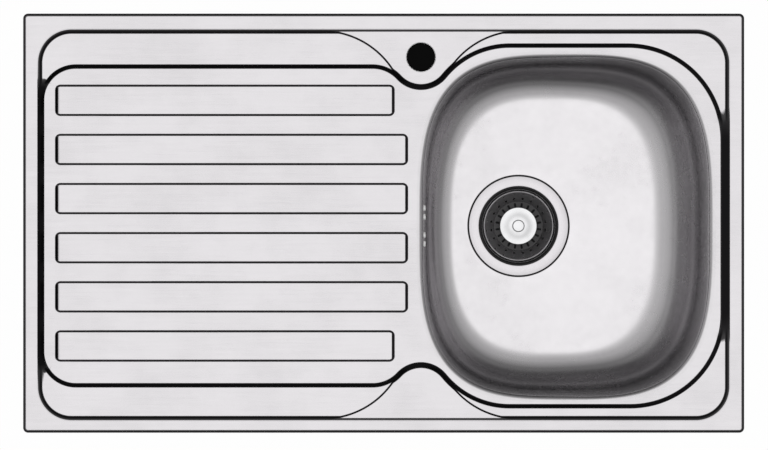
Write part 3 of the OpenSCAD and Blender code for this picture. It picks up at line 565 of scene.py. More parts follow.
def effect(name, inputs, outputs):
    """An empty shader node group with named inputs, (kind, default) each, and named float outputs."""
    tree = bpy.data.node_groups.new(name, "ShaderNodeTree")
    for label, (kind, value) in inputs.items():
        made = tree.interface.new_socket(label, in_out="INPUT", socket_type="NodeSocket" + kind)
        made.default_value = value
    for label in outputs:
        tree.interface.new_socket(label, in_out="OUTPUT", socket_type="NodeSocketFloat")
    return tree, wire(tree, "NodeGroupInput").outputs


def placed(tree, group, values):
    return wire(tree, "ShaderNodeGroup", values, node_tree=group).outputs


at_origin = ("Vector", (0, 0, 0))
unstretched = ("Vector", (1, 1, 1))
grain, given = effect("brushed_grain", {"Place": at_origin, "Stretch": unstretched}, ["Lines", "Height"])
stretched = wire(grain, "ShaderNodeMapping", {"Vector": given["Place"], "Scale": given["Stretch"]}).outputs[0]
fine = noise(grain, stretched, 3.0, detail=3.0, roughness=0.6)
broad = noise(grain, stretched, 0.8)
weighed = maths(grain, "MULTIPLY", broad, 1 - FINE_SHARE)
lines_mask = maths(grain, "MULTIPLY_ADD", fine, FINE_SHARE, weighed)
wire(grain, "NodeGroupOutput", {"Lines": ranged(grain, lines_mask, 0.3, 0.7), "Height": fine})

wear, given = effect("handling_marks", {"Place": at_origin, "Scale": ("Float", 9.0)}, ["Marks"])
blotches = noise(wear, given["Place"], given["Scale"], detail=4.0, roughness=0.65)
wire(wear, "NodeGroupOutput", {"Marks": ranged(wear, blotches, 0.42, 0.68)})

rings, given = effect("turned_rings", {"Place": at_origin, "Fineness": ("Float", 900.0)}, ["Rings"])
to_axis = (-WASTE_X * MM, -WASTE_Y * MM, 0)
moved = wire(rings, "ShaderNodeMapping", {"Vector": given["Place"], "Location": to_axis}).outputs[0]
centred = split(rings, moved)
flat_place = joined(rings, centred["X"], centred["Y"])
radius = wire(rings, "ShaderNodeVectorMath", {0: flat_place}, operation="LENGTH").outputs["Value"]
ring_place = joined(rings, radius, centred["Z"])
wire(rings, "NodeGroupOutput", {"Rings": noise(rings, ring_place, given["Fineness"])})
print("shared effects:", grain.name, wear.name, rings.name)

# %% [markdown]
# ## Brushed and satin steel, with painted reflections
#
# Level steel mirrors what is above the sink, and steep steel mirrors what is beside it, which in a kitchen
# is dark. The studio here is pale all round, so that dark reflection is painted into the colour: the steel
# keeps less of its colour where the sheet is steep. The stops say how much: the press leaves narrow steps,
# which turn nearly black, and the bowl is drawn, so its wide bends pass through many painted greys. The
# bowl's walls that face the front or the back get more of this painted shade than its other walls, and its
# lip is painted a little darker, so that it runs into the deck's tone.

# %% Steel finishes, with painted reflections
# Colour of the painted dark reflection on steep steel.
PAINTED_BEND_DARK = (0.010, 0.0096, 0.0103)
SMUDGE_DULLING = 0.05
# Facings and heights, in millimetres, where the bowl gets more painted shade.
END_SHADE_START, END_SHADE_FULL = 0.3, 0.58
LIP_SHADE_LOW, LIP_SHADE_HIGH = -8.0, -5.0


def steel(name, low, high, smooth, rough, stretch, depth, bends, end_shade_share=1.0, lip_shade_share=1.0):
    """Brushed steel, with a painted dark reflection where the sheet is steep. The bends say how much of its
    full colour it keeps where the sheet is that steep, the share for the ends how much of that is left on
    walls that face the front or the back, and the share for the lip how much is left at the top."""
    material, tree, place = node_material(name)
    lines = placed(tree, grain, {"Place": place, "Stretch": stretch})
    smudges = placed(tree, wear, {"Place": place})["Marks"]
    dull = between_values(tree, lines["Lines"], smooth, rough)
    roughness = maths(tree, "MULTIPLY_ADD", smudges, SMUDGE_DULLING, dull)
    bend = wire(tree, "ShaderNodeAttribute", attribute_name="bend").outputs["Fac"]
    end_wall = wire(tree, "ShaderNodeAttribute", attribute_name="end_wall").outputs["Fac"]
    share = ramped(tree, bend, bends)
    # More painted shade on walls that face the front or the back, and on the bowl's lip.
    shade_on_ends = ranged(tree, end_wall, END_SHADE_START, END_SHADE_FULL, 1.0, end_shade_share)
    shade_on_lip = ranged(tree, split(tree, place)["Z"], LIP_SHADE_LOW * MM, LIP_SHADE_HIGH * MM, 1.0, lip_shade_share)
    share = maths(tree, "MULTIPLY", maths(tree, "MULTIPLY", share, shade_on_ends), shade_on_lip)
    full_colour = between_colours(tree, lines["Lines"], low, high)
    colour = between_colours(tree, share, PAINTED_BEND_DARK, full_colour)
    shaded(tree, colour, roughness, bumped(tree, lines["Height"], depth), Metallic=1.0)
    return material


# Stops of painted dark reflection: how much colour the steel keeps at each steepness, on deck and bowl.
pressed_bend_shade = [(0.0, 1.0), (0.05, 1.0), (0.22, 0.12), (0.6, 0.0)]
drawn_bend_shade = [
    (0.0, 1.0), (0.2, 0.9), (0.31, 0.75), (0.35, 0.65), (0.42, 0.5), (0.485, 0.37), (0.59, 0.46),
    (0.68, 0.64), (0.76, 0.7), (0.84, 0.52), (0.92, 0.54), (0.97, 0.72), (1.0, 0.58),
]
brushed_steel = steel(
    "brushed_steel", low=(0.72, 0.702, 0.72), high=(0.76, 0.741, 0.76), smooth=0.2, rough=0.28,
    stretch=(14, 420, 420), depth=1e-5, bends=pressed_bend_shade,
)
# The bowl's steel, with painted shade in many greys over its wide bends.
satin_steel_painted_shade = steel(
    "satin_steel_painted_shade", low=(0.80, 0.781, 0.80), high=(0.825, 0.805, 0.825), smooth=0.2, rough=0.27,
    stretch=(40, 40, 90), depth=4e-6, bends=drawn_bend_shade, end_shade_share=0.64, lip_shade_share=0.88,
)
print("bends:", len(pressed_bend_shade), "stops for the deck and", len(drawn_bend_shade), "for the bowl")

# %% [markdown]
# ## Polished steel, and steel with painted shade
#
# The pull disc and its knob are polished. The basket and the dish round it are steel too, but from above one
# looks down a narrow throat, so the shade and reflections there are painted into their colour: a bright
# flange, a black throat with painted shade, a dark grey basket with painted shade, and a painted highlight
# on the basket's rim. Those painted tones follow the height, so tone and metallic share are both read from
# stops of height.

# %% Turned finishes, some with painted shade
RING_FINENESS, RING_DEPTH = 700.0, 1e-5


def turned_pattern(tree, place, mark_scale):
    """Rings of the lathe and marks of hands, for turned metal."""
    turned_lines = placed(tree, rings, {"Place": place, "Fineness": RING_FINENESS})["Rings"]
    return turned_lines, placed(tree, wear, {"Place": place, "Scale": mark_scale})["Marks"]


def polished(name, low, high, smooth, rough):
    material, tree, place = node_material(name)
    turned_lines, smudges = turned_pattern(tree, place, 40.0)
    colour = between_colours(tree, turned_lines, low, high)
    roughness = between_values(tree, smudges, smooth, rough)
    shaded(tree, colour, roughness, bumped(tree, turned_lines, RING_DEPTH), Metallic=1.0)
    return material


def shade_painted(name, painted_tones, metals, smooth, rough):
    """Turned steel with painted shade and painted highlights. Its tone and metallic share change with its
    height: stops of (millimetres, value).
    """
    material, tree, place = node_material(name)
    turned_lines, smudges = turned_pattern(tree, place, 70.0)
    low, high = painted_tones[0][0], painted_tones[-1][0]
    climb = ranged(tree, split(tree, place)["Z"], low * MM, high * MM)

    def by_height(stops):
        return ramped(tree, climb, [((z - low) / (high - low), value) for z, value in stops])

    tone, metal = by_height(painted_tones), by_height(metals)
    by_rings = between_values(tree, turned_lines, 0.95, 1.05)
    uneven = maths(tree, "MULTIPLY", by_rings, between_values(tree, smudges, 1.0, 1.2))
    colour = between_colours(tree, maths(tree, "MULTIPLY", tone, uneven), (0.0, 0.0, 0.0), (1.0, 0.97, 1.0))
    roughness = between_values(tree, smudges, smooth, rough)
    shaded(tree, colour, roughness, bumped(tree, turned_lines, RING_DEPTH), Metallic=metal)
    return material


polished_steel = polished("polished_steel", (0.76, 0.76, 0.77), (0.82, 0.82, 0.83), 0.14, 0.24)
# Painted shade: darkest on the basket's floor and dark grey up its wall, with a painted highlight on its rim.
darkened_steel = shade_painted(
    "darkened_steel",
    painted_tones=[(-189.0, 0.07), (-187.8, 0.07), (-186.6, 0.16), (-162.25, 0.16), (-162.05, 0.5), (-161.9, 0.5)],
    metals=[(-189.0, 0.4), (-162.0, 0.4)], smooth=0.4, rough=0.55,
)
# Painted shade: nearly black down the dish's throat and grey on its lip, under the flange's own bright steel.
strainer_steel_painted_shade = shade_painted(
    "strainer_steel_painted_shade",
    painted_tones=[
        (-160.0, 0.006), (-158.5, 0.1), (-156.4, 0.09), (-155.8, 0.01), (-154.1, 0.01),
        (-154.03, 0.7), (-153.9, 0.7),
    ],
    metals=[(-160.0, 0.3), (-154.1, 0.3), (-154.03, 1.0), (-153.9, 1.0)], smooth=0.2, rough=0.3,
)
print("nodes in the darkened steel:", len(darkened_steel.node_tree.nodes))

# %% [markdown]
# ## Zinc and brass
#
# The clamps and brackets are zinc plated, which shows as small flat crystals, each with its own tone. Cells
# make them. The nut in the waste body is brass with duller patches.

# %% Zinc and brass finishes
def zinc(name):
    material, tree, place = node_material(name)
    crystal = cells(tree, place, 260.0)["Color"]
    flake = wire(tree, "ShaderNodeSeparateColor", {0: crystal}).outputs[0]
    smudges = placed(tree, wear, {"Place": place, "Scale": 60.0})["Marks"]
    colour = between_colours(tree, flake, (0.56, 0.57, 0.57), (0.66, 0.66, 0.64))
    roughness = maths(tree, "MULTIPLY_ADD", smudges, 0.18, between_values(tree, flake, 0.3, 0.42))
    shaded(tree, colour, roughness, bumped(tree, noise(tree, place, 500.0), 4e-5), Metallic=1.0)
    return material


def cast_brass(name):
    material, tree, place = node_material(name)
    smudges = placed(tree, wear, {"Place": place, "Scale": 90.0})["Marks"]
    colour = between_colours(tree, smudges, (0.80, 0.62, 0.30), (0.62, 0.44, 0.20))
    roughness = between_values(tree, smudges, 0.22, 0.4)
    shaded(tree, colour, roughness, bumped(tree, noise(tree, place, 900.0), 3e-5), Metallic=1.0)
    return material


zinc_steel = zinc("zinc_steel")
brass = cast_brass("brass")
print("nodes in the zinc plating:", len(zinc_steel.node_tree.nodes))

# %% [markdown]
# ## Plastics, rubber, foam and the damping pad
#
# Moulded plastic has a faint stipple and slightly uneven gloss. Rubber is nearly black and hardly shines,
# the rim seal is a closed foam with visible cells, and the damping pad is a heavy bitumen sheet with a
# coarse stipple.

# %% Moulded and soft finishes
PORE_CONTRAST = 1.6


def moulded(name, low, high, smooth, rough, stipple, depth, shine=0.5):
    material, tree, place = node_material(name)
    colour = between_colours(tree, noise(tree, place, 25.0, detail=3.0), low, high)
    smudges = placed(tree, wear, {"Place": place, "Scale": 30.0})["Marks"]
    gloss = between_values(tree, smudges, smooth, rough)
    dimples = bumped(tree, noise(tree, place, stipple), depth)
    shaded(tree, colour, gloss, dimples, **{"Specular IOR Level": shine})
    return material


def cellular(name, low, high, scale, depth, rough=0.85):
    material, tree, place = node_material(name)
    pores = cells(tree, place, scale)["Distance"]
    colour = between_colours(tree, between_values(tree, pores, 0.0, PORE_CONTRAST), low, high)
    shaded(tree, colour, between_values(tree, pores, rough, 1.0), bumped(tree, pores, depth))
    return material


white_plastic = moulded("white_plastic", (0.82, 0.82, 0.80), (0.90, 0.90, 0.88), 0.36, 0.5, 1800.0, 4e-5)
# A lighter copy of the white plastic: the collars stand in the bowl's shade, so their light is painted in.
collar_plastic_painted_light = moulded("collar_plastic_painted_light", (0.91, 0.91, 0.90), (0.95, 0.95, 0.94), 0.3, 0.4, 1800.0, 2e-5)
grey_plastic = moulded("grey_plastic", (0.74, 0.74, 0.73), (0.80, 0.80, 0.79), 0.4, 0.55, 1400.0, 4e-5)
black_rubber = moulded(
    "black_rubber", (0.008, 0.008, 0.009), (0.02, 0.02, 0.021), 0.55, 0.8, 1100.0, 6e-5, shine=0.12
)
seal_foam = cellular("seal_foam", (0.035, 0.035, 0.04), (0.10, 0.10, 0.11), 900.0, 2e-4)
damping_pad = cellular("damping_pad", (0.02, 0.02, 0.022), (0.07, 0.07, 0.075), 420.0, 4e-4, rough=0.6)
print("nodes in the foam:", len(seal_foam.node_tree.nodes))

# %% [markdown]
# The CAD pieces whose shape is right stay as they are and only change their finish. The record says which
# of the slots each one has, and a slot is named after its finish.

# %% Finishes of the CAD pieces
finishes = {
    "brushed_steel": brushed_steel, "polished_steel": polished_steel, "darkened_steel": darkened_steel,
    "zinc_steel": zinc_steel, "brass": brass,
    "white_plastic": white_plastic, "grey_plastic": grey_plastic, "black_rubber": black_rubber,
    "seal_foam": seal_foam, "damping_pad": damping_pad,
}
for part in frame["record"]["subparts"]:
    for slot in nodes[part["node"]].material_slots:
        slot.material = finishes[part["material_slot"]]
print("finishes:", len(finishes))

# %% [markdown]
# ## The deck
#
# The upper face is filled by a triangulation that keeps every contour of the steps as an edge, so the
# triangles are narrow where the sheet turns and wide where it is flat. First come the contours: loops half
# a millimetre apart across each step, the outer edge, the tap hole, the bowl's mouth, and short lines
# across the ribs' ends.

# %% Deck contours
BOWL_X, BOWL_Y, BOWL_A, BOWL_B = 217.6, -4.5, 175.5, 206.6
MOUTH_POWER, LIP = 3.25, 3.0
CONTOUR_STEP = 0.5
LONGEST_RUN = 18.0
EDGE_RUN, EDGE_ROLL = 3.9, 3.2
HOLE_ROUND = 0.4
RIB_BEYOND, RIB_BESIDE = 2.0, 1.0
BOWL_SIDES = 256


def divided(loop):
    """Adds points along the straight runs of a loop, so that none is longer than LONGEST_RUN."""
    rows = []
    for a, b in zip(loop, np.roll(loop, -1, axis=0)):
        n = max(1, math.ceil(np.linalg.norm(b - a) / LONGEST_RUN))
        rows.append(a + np.arange(n)[:, None] / n * (b - a))
    return np.vstack(rows)


def contours(arcs, run, inner, outer):
    """Loops across a step along an outline, with a margin inside it and one outside it."""
    offsets = np.arange(-run / 2 - inner, run / 2 + outer + CONTOUR_STEP / 2, CONTOUR_STEP)
    return [divided(outline(arcs, offset)) for offset in offsets]


def squircle(centre, a, b, power):
    """A clockwise loop between an ellipse and a rectangle. The higher the power, the squarer it is."""
    turns = -(np.arange(BOWL_SIDES) + 0.5) * 2 * math.pi / BOWL_SIDES
    c, s = np.cos(turns), np.sin(turns)
    x = a * np.sign(c) * np.abs(c) ** (2 / power)
    y = b * np.sign(s) * np.abs(s) ** (2 / power)
    return np.column_stack([centre[0] + x, centre[1] + y])


mouth_lip = squircle((BOWL_X, BOWL_Y), BOWL_A + LIP, BOWL_B + LIP, MOUTH_POWER)
rim_edge = outline(rim, -EDGE_RUN)
hole_edge = outline(tap_hole, HOLE_ROUND)
loops = [rim_edge, hole_edge, mouth_lip]

# Each step has its outline, its run, and a margin inside and outside it that its small rounds need.
steps = [(well, RIM_RUN, 1.5, 1.5), (recess, RECESS_RUN, 1.0, 3.0)]
steps += [(arcs, FLANK_RUN, 1.0, 1.0) for arcs in (ledge, front_swell)]
steps += [(box_arcs(*corners, RIB_R), RIB_RUN, 0.7, 0.7) for corners in ribs]
for arcs, run, inner, outer in steps:
    loops += contours(arcs, run, inner, outer)

lines = []
for x0, y0, x1, y1 in ribs:
    at_start = np.arange(x0 - RIB_BEYOND, x0 + RIB_START_RUN, CONTOUR_STEP)
    at_end = np.arange(x1 - RIB_END_RUN, x1 + RIB_BEYOND, CONTOUR_STEP)
    lines += [np.array([(x, y0 - RIB_BESIDE), (x, y1 + RIB_BESIDE)]) for x in (*at_start, *at_end)]
print("deck contours:", len(loops), "and short lines:", len(lines))

# %% [markdown]
# The triangulation fills everything inside the outer loop, so the triangles in the tap hole and in the
# bowl's mouth are dropped afterwards, and so are slivers with no area. The rest are turned to face up.

# %% Deck triangles
SNAP, SLIVER = 1e-5, 1e-7

flat = np.vstack(loops + lines)
edges, start = [], 0
for loop in loops:
    edges += [(start + i, start + (i + 1) % len(loop)) for i in range(len(loop))]
    start += len(loop)
for line in lines:
    edges.append((start, start + 1))
    start += len(line)
filled = delaunay_2d_cdt([Vector(p) for p in flat.tolist()], edges, [], 0, SNAP, False)
points = np.array([tuple(p) for p in filled[0]])
triangles = np.array(filled[2])
middles = points[triangles].mean(axis=1)
sides = points[triangles[:, 1:]] - points[triangles[:, :1]]
turning = sides[:, 0, 0] * sides[:, 1, 1] - sides[:, 0, 1] * sides[:, 1, 0]
keep = inside(middles, rim_edge) & ~inside(middles, hole_edge) & ~inside(middles, mouth_lip)
keep &= np.abs(turning) > SLIVER
triangles = np.where(turning[:, None] > 0, triangles, triangles[:, ::-1])[keep]
print("deck points:", len(points), "triangles:", len(triangles))

# %% [markdown]
# The triangles are lifted to the pressing's height, with normals from its slope. The underside is the same
# mesh, one sheet thickness down along the normals. The outer edge rolls down in a quarter of an ellipse to
# just above the worktop, and its inside follows it a sheet's thickness behind.

# %% Deck faces and outer edge
EDGE_Z = 0.4

normals = deck_normals(points)
top = level(points, deck_height(points))
deck_shell = Shell()
deck_shell.add(top, normals, triangles)
deck_shell.add(top - SHEET * normals, -normals, triangles[:, ::-1])


def edge_ways(arcs):
    """The way out of an outline at each of its points."""
    return outline(arcs, 1.0) - outline(arcs, 0.0)


def tilted(ways, angle):
    """Normals that lean outwards by an angle from straight up."""
    return level(ways * math.sin(angle), math.cos(angle))


ways = edge_ways(rim)
upright, upside_down = math.pi / 2, math.pi
quarter = np.linspace(0, upright, 7)
hub_z = RIM_Z - EDGE_ROLL
leans = np.arctan2(EDGE_ROLL * np.sin(quarter), EDGE_RUN * np.cos(quarter))
roll = []
for t, lean in zip(quarter, leans):
    ring = level(outline(rim, EDGE_RUN * (math.sin(t) - 1)), hub_z + EDGE_ROLL * math.cos(t))
    roll.append((ring, tilted(ways, lean)))
roll.append((level(outline(rim), EDGE_Z), tilted(ways, upright)))
deck_shell.strip(*zip(*roll))
under = tilted(ways, upside_down)
deck_shell.strip([level(outline(rim), EDGE_Z), level(outline(rim, -SHEET), EDGE_Z)], [under, under])
inner_run, inner_roll = EDGE_RUN - SHEET, EDGE_ROLL - SHEET
back = [(level(outline(rim, -SHEET), EDGE_Z), -tilted(ways, upright))]
for t, lean in zip(quarter[::-1], leans[::-1]):
    ring = level(outline(rim, inner_run * math.sin(t) - EDGE_RUN), hub_z + inner_roll * math.cos(t))
    back.append((ring, -tilted(ways, lean)))
deck_shell.strip(*zip(*back))
print("outer edge rings:", len(roll) + len(back))

# %% [markdown]
# The tap hole is punched, so its upper edge is slightly rounded and its lower edge is sharp. At the bowl,
# the sheet ends in a plain face that the bowl's own edge is welded to.

# %% Tap hole and weld edge
ways = edge_ways(tap_hole)
low_z = LEDGE_Z - SHEET
under = tilted(ways, upside_down)
low_edge = level(outline(tap_hole), low_z)
deck_shell.strip([level(outline(tap_hole, HOLE_ROUND), low_z), low_edge], [under, under])
wall = [(low_edge, -tilted(ways, upright))]
for t in quarter[::-1]:
    fallen = HOLE_ROUND * (1 - math.cos(t))
    ring = level(outline(tap_hole, HOLE_ROUND * (1 - math.sin(t))), LEDGE_Z - fallen)
    wall.append((ring, tilted(-ways, t)))
deck_shell.strip(*zip(*wall))

inwards = level(np.array([BOWL_X, BOWL_Y]) - mouth_lip, 0)
deck_shell.strip([level(mouth_lip, FLOOR_Z - SHEET), level(mouth_lip, FLOOR_Z)], [inwards, inwards])
deck = deck_shell.build("deck_sheet", brushed_steel)

# %% [markdown]
# ## The bowl
#
# The bowl is drawn from a second sheet, so it is a loft: a rounded mouth, a nearly upright wall, a wide
# foot and a floor that falls to the round recess of the waste. The mouth and the floor are rounded boxes,
# and each of the loft's sides has its own section, an arc, a straight line and an arc, because the floor
# isn't under the middle of the mouth. The overflow slots are cut by Geometry Nodes afterwards.

# %% Wall of the bowl
BOWL_DEPTH, BOWL_FALL, MOUTH_R, FOOT_SHARE = 150.0, 4.0, 5.0, 0.8
FLOOR_CENTRE, FLOOR_A, FLOOR_B, FLOOR_POWER = (201.8, -3.3), 117.0, 148.0, 2.9
FLANGE_Z, RECESS_DROP, RECESS_R, RECESS_EDGE, WASTE_HOLE = -154.0, 2.0, 61.0, 1.2, 46.0
MOUTH_STEPS, WALL_STEPS, FOOT_STEPS, FLOOR_STEPS, RECESS_STEPS = 8, 11, 24, 8, 4


def shares(steps):
    """Shares from 0 to 1 in even steps."""
    return np.linspace(0, 1, steps + 1)


def waste_loop(r, z):
    """A loop round the waste, in step with the bowl's sides."""
    return level(squircle((WASTE_X, WASTE_Y), r, r, 2), z)


def wall_loops(behind):
    """Loops from the mouth to the foot, a distance behind the wall's inner face."""
    mouth = squircle((BOWL_X, BOWL_Y), BOWL_A, BOWL_B, MOUTH_POWER)
    floor_edge = squircle(FLOOR_CENTRE, FLOOR_A, FLOOR_B, FLOOR_POWER)
    way = floor_edge - mouth
    inset = np.linalg.norm(way, axis=1)
    run = np.linalg.norm(floor_edge - (WASTE_X, WASTE_Y), axis=1) - RECESS_R
    wall_depth = BOWL_DEPTH - BOWL_FALL * run / run.max()
    foot = inset * FOOT_SHARE
    both = foot + MOUTH_R
    drop = wall_depth - both
    sweep = math.pi / 2 - np.arccos(both / np.hypot(inset, drop)) + np.arctan2(drop, inset)
    section = []
    for share in shares(MOUTH_STEPS):
        t = sweep * share
        section.append(((MOUTH_R - behind) * np.sin(t), MOUTH_R - (MOUTH_R - behind) * np.cos(t)))
    bend = []
    for share in shares(FOOT_STEPS)[::-1]:
        t = sweep * share
        bend.append((inset - (foot + behind) * np.sin(t), wall_depth - foot + (foot + behind) * np.cos(t)))
    (x0, d0), (x1, d1) = section[-1], bend[0]
    for share in shares(WALL_STEPS)[1:-1]:
        section.append((x0 + (x1 - x0) * share, d0 + (d1 - d0) * share))
    return [level(mouth + way * (x / inset)[:, None], FLOOR_Z - depth) for x, depth in section + bend]


# %% [markdown]
# From the foot, the floor falls evenly to the recess of the waste, whose edge is rounded, and ends at the
# hole for the strainer. The outer face is the same set of loops, a sheet's thickness behind.

# %% Bowl mesh
def bowl_loops(behind):
    """Loops from the weld to the waste's hole."""
    rows = [level(mouth_lip, FLOOR_Z - behind)] + wall_loops(behind)
    edge = waste_loop(RECESS_R + RECESS_EDGE + behind, FLANGE_Z - behind)
    rows += [rows[-1] + (edge - rows[-1]) * share for share in shares(FLOOR_STEPS)[1:]]
    for t in shares(RECESS_STEPS) * math.pi / 2:
        r = RECESS_R + behind + RECESS_EDGE / 2 * (1 - math.sin(t))
        rows.append(waste_loop(r, FLANGE_Z - behind - RECESS_EDGE / 2 * (1 - math.cos(t))))
    rows.append(waste_loop(RECESS_R + behind, FLANGE_Z - RECESS_DROP - behind))
    rows.append(waste_loop(WASTE_HOLE, FLANGE_Z - RECESS_DROP - behind))
    return rows


bowl_shell = Shell()
inner, outer = bowl_loops(0.0), bowl_loops(SHEET)
bowl_shell.strip(inner[::-1] + outer + inner[-1:])
bowl = bowl_shell.build("bowl_sheet", satin_steel_painted_shade, sharp=40)

# %% [markdown]
# ## One tree that sets copies out
#
# Overflow slots, drain holes, the basket's perforations, the collars and the grips are all one shape
# repeated. A first tree of Geometry Nodes sets copies of a shape in a row or round a ring, turned and
# tilted to match, and leaves one out where another piece has that place. Its sizes are named inputs.

# %% Tree of places
PLACING = {
    "Count": "Int", "Skip": "Int", "Spacing": "Float", "Ring Radius": "Float", "Tilt": "Float",
    "Centre": "Vector",
}


def new_tree(name, sockets):
    """A tree with a geometry in, a geometry out and named inputs, and the outputs of its input node."""
    tree = bpy.data.node_groups.new(name, "GeometryNodeTree")
    tree.interface.new_socket("Geometry", in_out="INPUT", socket_type="NodeSocketGeometry")
    for label, kind in sockets.items():
        tree.interface.new_socket(label, in_out="INPUT", socket_type="NodeSocket" + kind)
    tree.interface.new_socket("Geometry", in_out="OUTPUT", socket_type="NodeSocketGeometry")
    return tree, wire(tree, "NodeGroupInput").outputs


copies, given = new_tree("copies", PLACING)
index = wire(copies, "GeometryNodeInputIndex").outputs[0]
turn_step = maths(copies, "DIVIDE", math.tau, given["Count"])
on_ring = maths(copies, "GREATER_THAN", given["Ring Radius"], 0.0)
turn = maths(copies, "MULTIPLY", maths(copies, "ADD", index, 0.5), turn_step)
angle = maths(copies, "MULTIPLY", turn, on_ring)
row_middle = maths(copies, "MULTIPLY", maths(copies, "SUBTRACT", given["Count"], 1.0), 0.5)
row_y = maths(copies, "MULTIPLY", maths(copies, "SUBTRACT", index, row_middle), given["Spacing"])
ring_y = maths(copies, "MULTIPLY", maths(copies, "SINE", angle), given["Ring Radius"])
ring_x = maths(copies, "MULTIPLY", maths(copies, "COSINE", angle), given["Ring Radius"])
place = joined(copies, ring_x, maths(copies, "ADD", ring_y, row_y))
line = wire(copies, "GeometryNodeMeshLine", {"Count": given["Count"]})
spread = wire(copies, "GeometryNodeSetPosition", {"Geometry": line.outputs[0], "Position": place})
moved = wire(copies, "GeometryNodeSetPosition", {"Geometry": spread.outputs[0], "Offset": given["Centre"]})
wanted = wire(
    copies, "FunctionNodeCompare", {2: index, 3: given["Skip"]}, data_type="INT", operation="NOT_EQUAL"
)
set_out = wire(copies, "GeometryNodeInstanceOnPoints", {
    "Points": moved.outputs[0], "Selection": wanted.outputs[0], "Instance": given["Geometry"],
    "Rotation": joined(copies, y=given["Tilt"], z=angle),
})
real = wire(copies, "GeometryNodeRealizeInstances", {0: set_out.outputs[0]})
wire(copies, "NodeGroupOutput", {0: real.outputs[0]})
print("inputs for places:", len(PLACING))

# %% [markdown]
# ## Trees that cut and repeat
#
# One tree makes a bar with rounded ends, has the first tree set it out, and takes the bars out of the piece
# that it is put on. The other repeats the piece itself.

# %% Cutting and repeating trees
BAR_ROUND_SHARE = 0.49


def copied(tree, given, shape):
    """The places of the copies tree, used in another tree on a shape of that tree's own."""
    values = {"Geometry": shape, **{name: given[name] for name in PLACING}}
    return wire(tree, "GeometryNodeGroup", values, node_tree=copies).outputs[0]


def finish_tree(tree, given, result):
    """Ends a tree, and gives the identifiers of its inputs by name."""
    whole = wire(tree, "GeometryNodeRealizeInstances", {0: result})
    values = {"Geometry": whole.outputs[0], "Material": given["Material"]}
    dressed = wire(tree, "GeometryNodeSetMaterial", values)
    wire(tree, "NodeGroupOutput", {0: dressed.outputs[0]})
    return {s.name: s.identifier for s in tree.interface.items_tree if s.in_out == "INPUT"}


cut_tree, given = new_tree("cut_bars", {
    **PLACING, "Length": "Float", "Width": "Float", "Depth": "Float", "Material": "Material",
})
bar_outline = wire(cut_tree, "GeometryNodeCurvePrimitiveQuadrilateral", {
    "Width": given["Length"], "Height": given["Width"],
})
shorter = maths(cut_tree, "MINIMUM", given["Length"], given["Width"])
bar_round = maths(cut_tree, "MULTIPLY", shorter, BAR_ROUND_SHARE)
rounded = wire(cut_tree, "GeometryNodeFilletCurve", {
    "Curve": bar_outline.outputs[0], "Radius": bar_round, "Count": 5,
}, mode="POLY")
half = maths(cut_tree, "MULTIPLY", given["Depth"], 0.5)
spine = wire(cut_tree, "GeometryNodeCurvePrimitiveLine", {
    "Start": joined(cut_tree, z=maths(cut_tree, "MULTIPLY", half, -1.0)), "End": joined(cut_tree, z=half),
})
bar = wire(cut_tree, "GeometryNodeCurveToMesh", {
    "Curve": spine.outputs[0], "Profile Curve": rounded.outputs[0], "Fill Caps": True,
})
bars = copied(cut_tree, given, bar.outputs[0])
cut = wire(
    cut_tree, "GeometryNodeMeshBoolean", {0: given["Geometry"], 1: bars},
    operation="DIFFERENCE", solver="EXACT",
)
cut_inputs = finish_tree(cut_tree, given, cut.outputs[0])

repeat_tree, given = new_tree("repeat", {**PLACING, "Material": "Material"})
repeat_inputs = finish_tree(repeat_tree, given, copied(repeat_tree, given, given["Geometry"]))
print("inputs for cutting:", len(cut_inputs), "and for repeating:", len(repeat_inputs))

# %% [markdown]
# A tree is put on a piece as a modifier with its sizes. The result is taken at once, because the export
# wants plain meshes.

# %% Running the trees
CUT_SHARP = 40


def run_tree(piece, tree, inputs, **sizes):
    """Applies a tree to a piece. Lengths are in millimetres and the tilt is in degrees."""
    modifier = piece.modifiers.new(tree.name, "NODES")
    modifier.node_group = tree
    modifier[inputs["Material"]] = piece.data.materials[0]
    modifier[inputs["Count"]] = sizes["count"]
    modifier[inputs["Skip"]] = sizes.get("skip", -1)
    modifier[inputs["Tilt"]] = math.radians(sizes.get("tilt", 0.0))
    modifier[inputs["Centre"]] = [v * MM for v in sizes["centre"]]
    for name in ("Spacing", "Ring Radius", "Length", "Width", "Depth"):
        if name in inputs:
            modifier[inputs[name]] = sizes.get(name.lower().replace(" ", "_"), 0.0) * MM
    evaluated = piece.evaluated_get(bpy.context.evaluated_depsgraph_get())
    mesh = bpy.data.meshes.new_from_object(evaluated)
    piece.modifiers.remove(modifier)
    before = len(piece.data.polygons)
    piece.data = mesh
    mesh.shade_smooth()
    mesh.set_sharp_from_angle(angle=math.radians(CUT_SHARP))
    print(piece.name, "faces", before, "to", len(mesh.polygons))


def cut_bars(piece, **sizes):
    run_tree(piece, cut_tree, cut_inputs, **sizes)


def repeat(piece, **sizes):
    """Repeats a piece that is made about the origin, in a row along y or round a ring."""
    run_tree(piece, repeat_tree, repeat_inputs, **sizes)


# %% [markdown]
# ## The overflow
#
# Four slots stand in a row on the bowl's left wall, with room for one screw in their middle. The bars that
# cut them are tilted as the wall is.

# %% Overflow slots
SLOT_X, SLOT_Z, WALL_TILT, SLOT_PITCH = 45.7, -42.0, 1.27, 10.75
SLOT_LONG, SLOT_WIDE, SCREW_HOLE, WALL_CUT = 14.0, 7.0, 3.2, 8.0

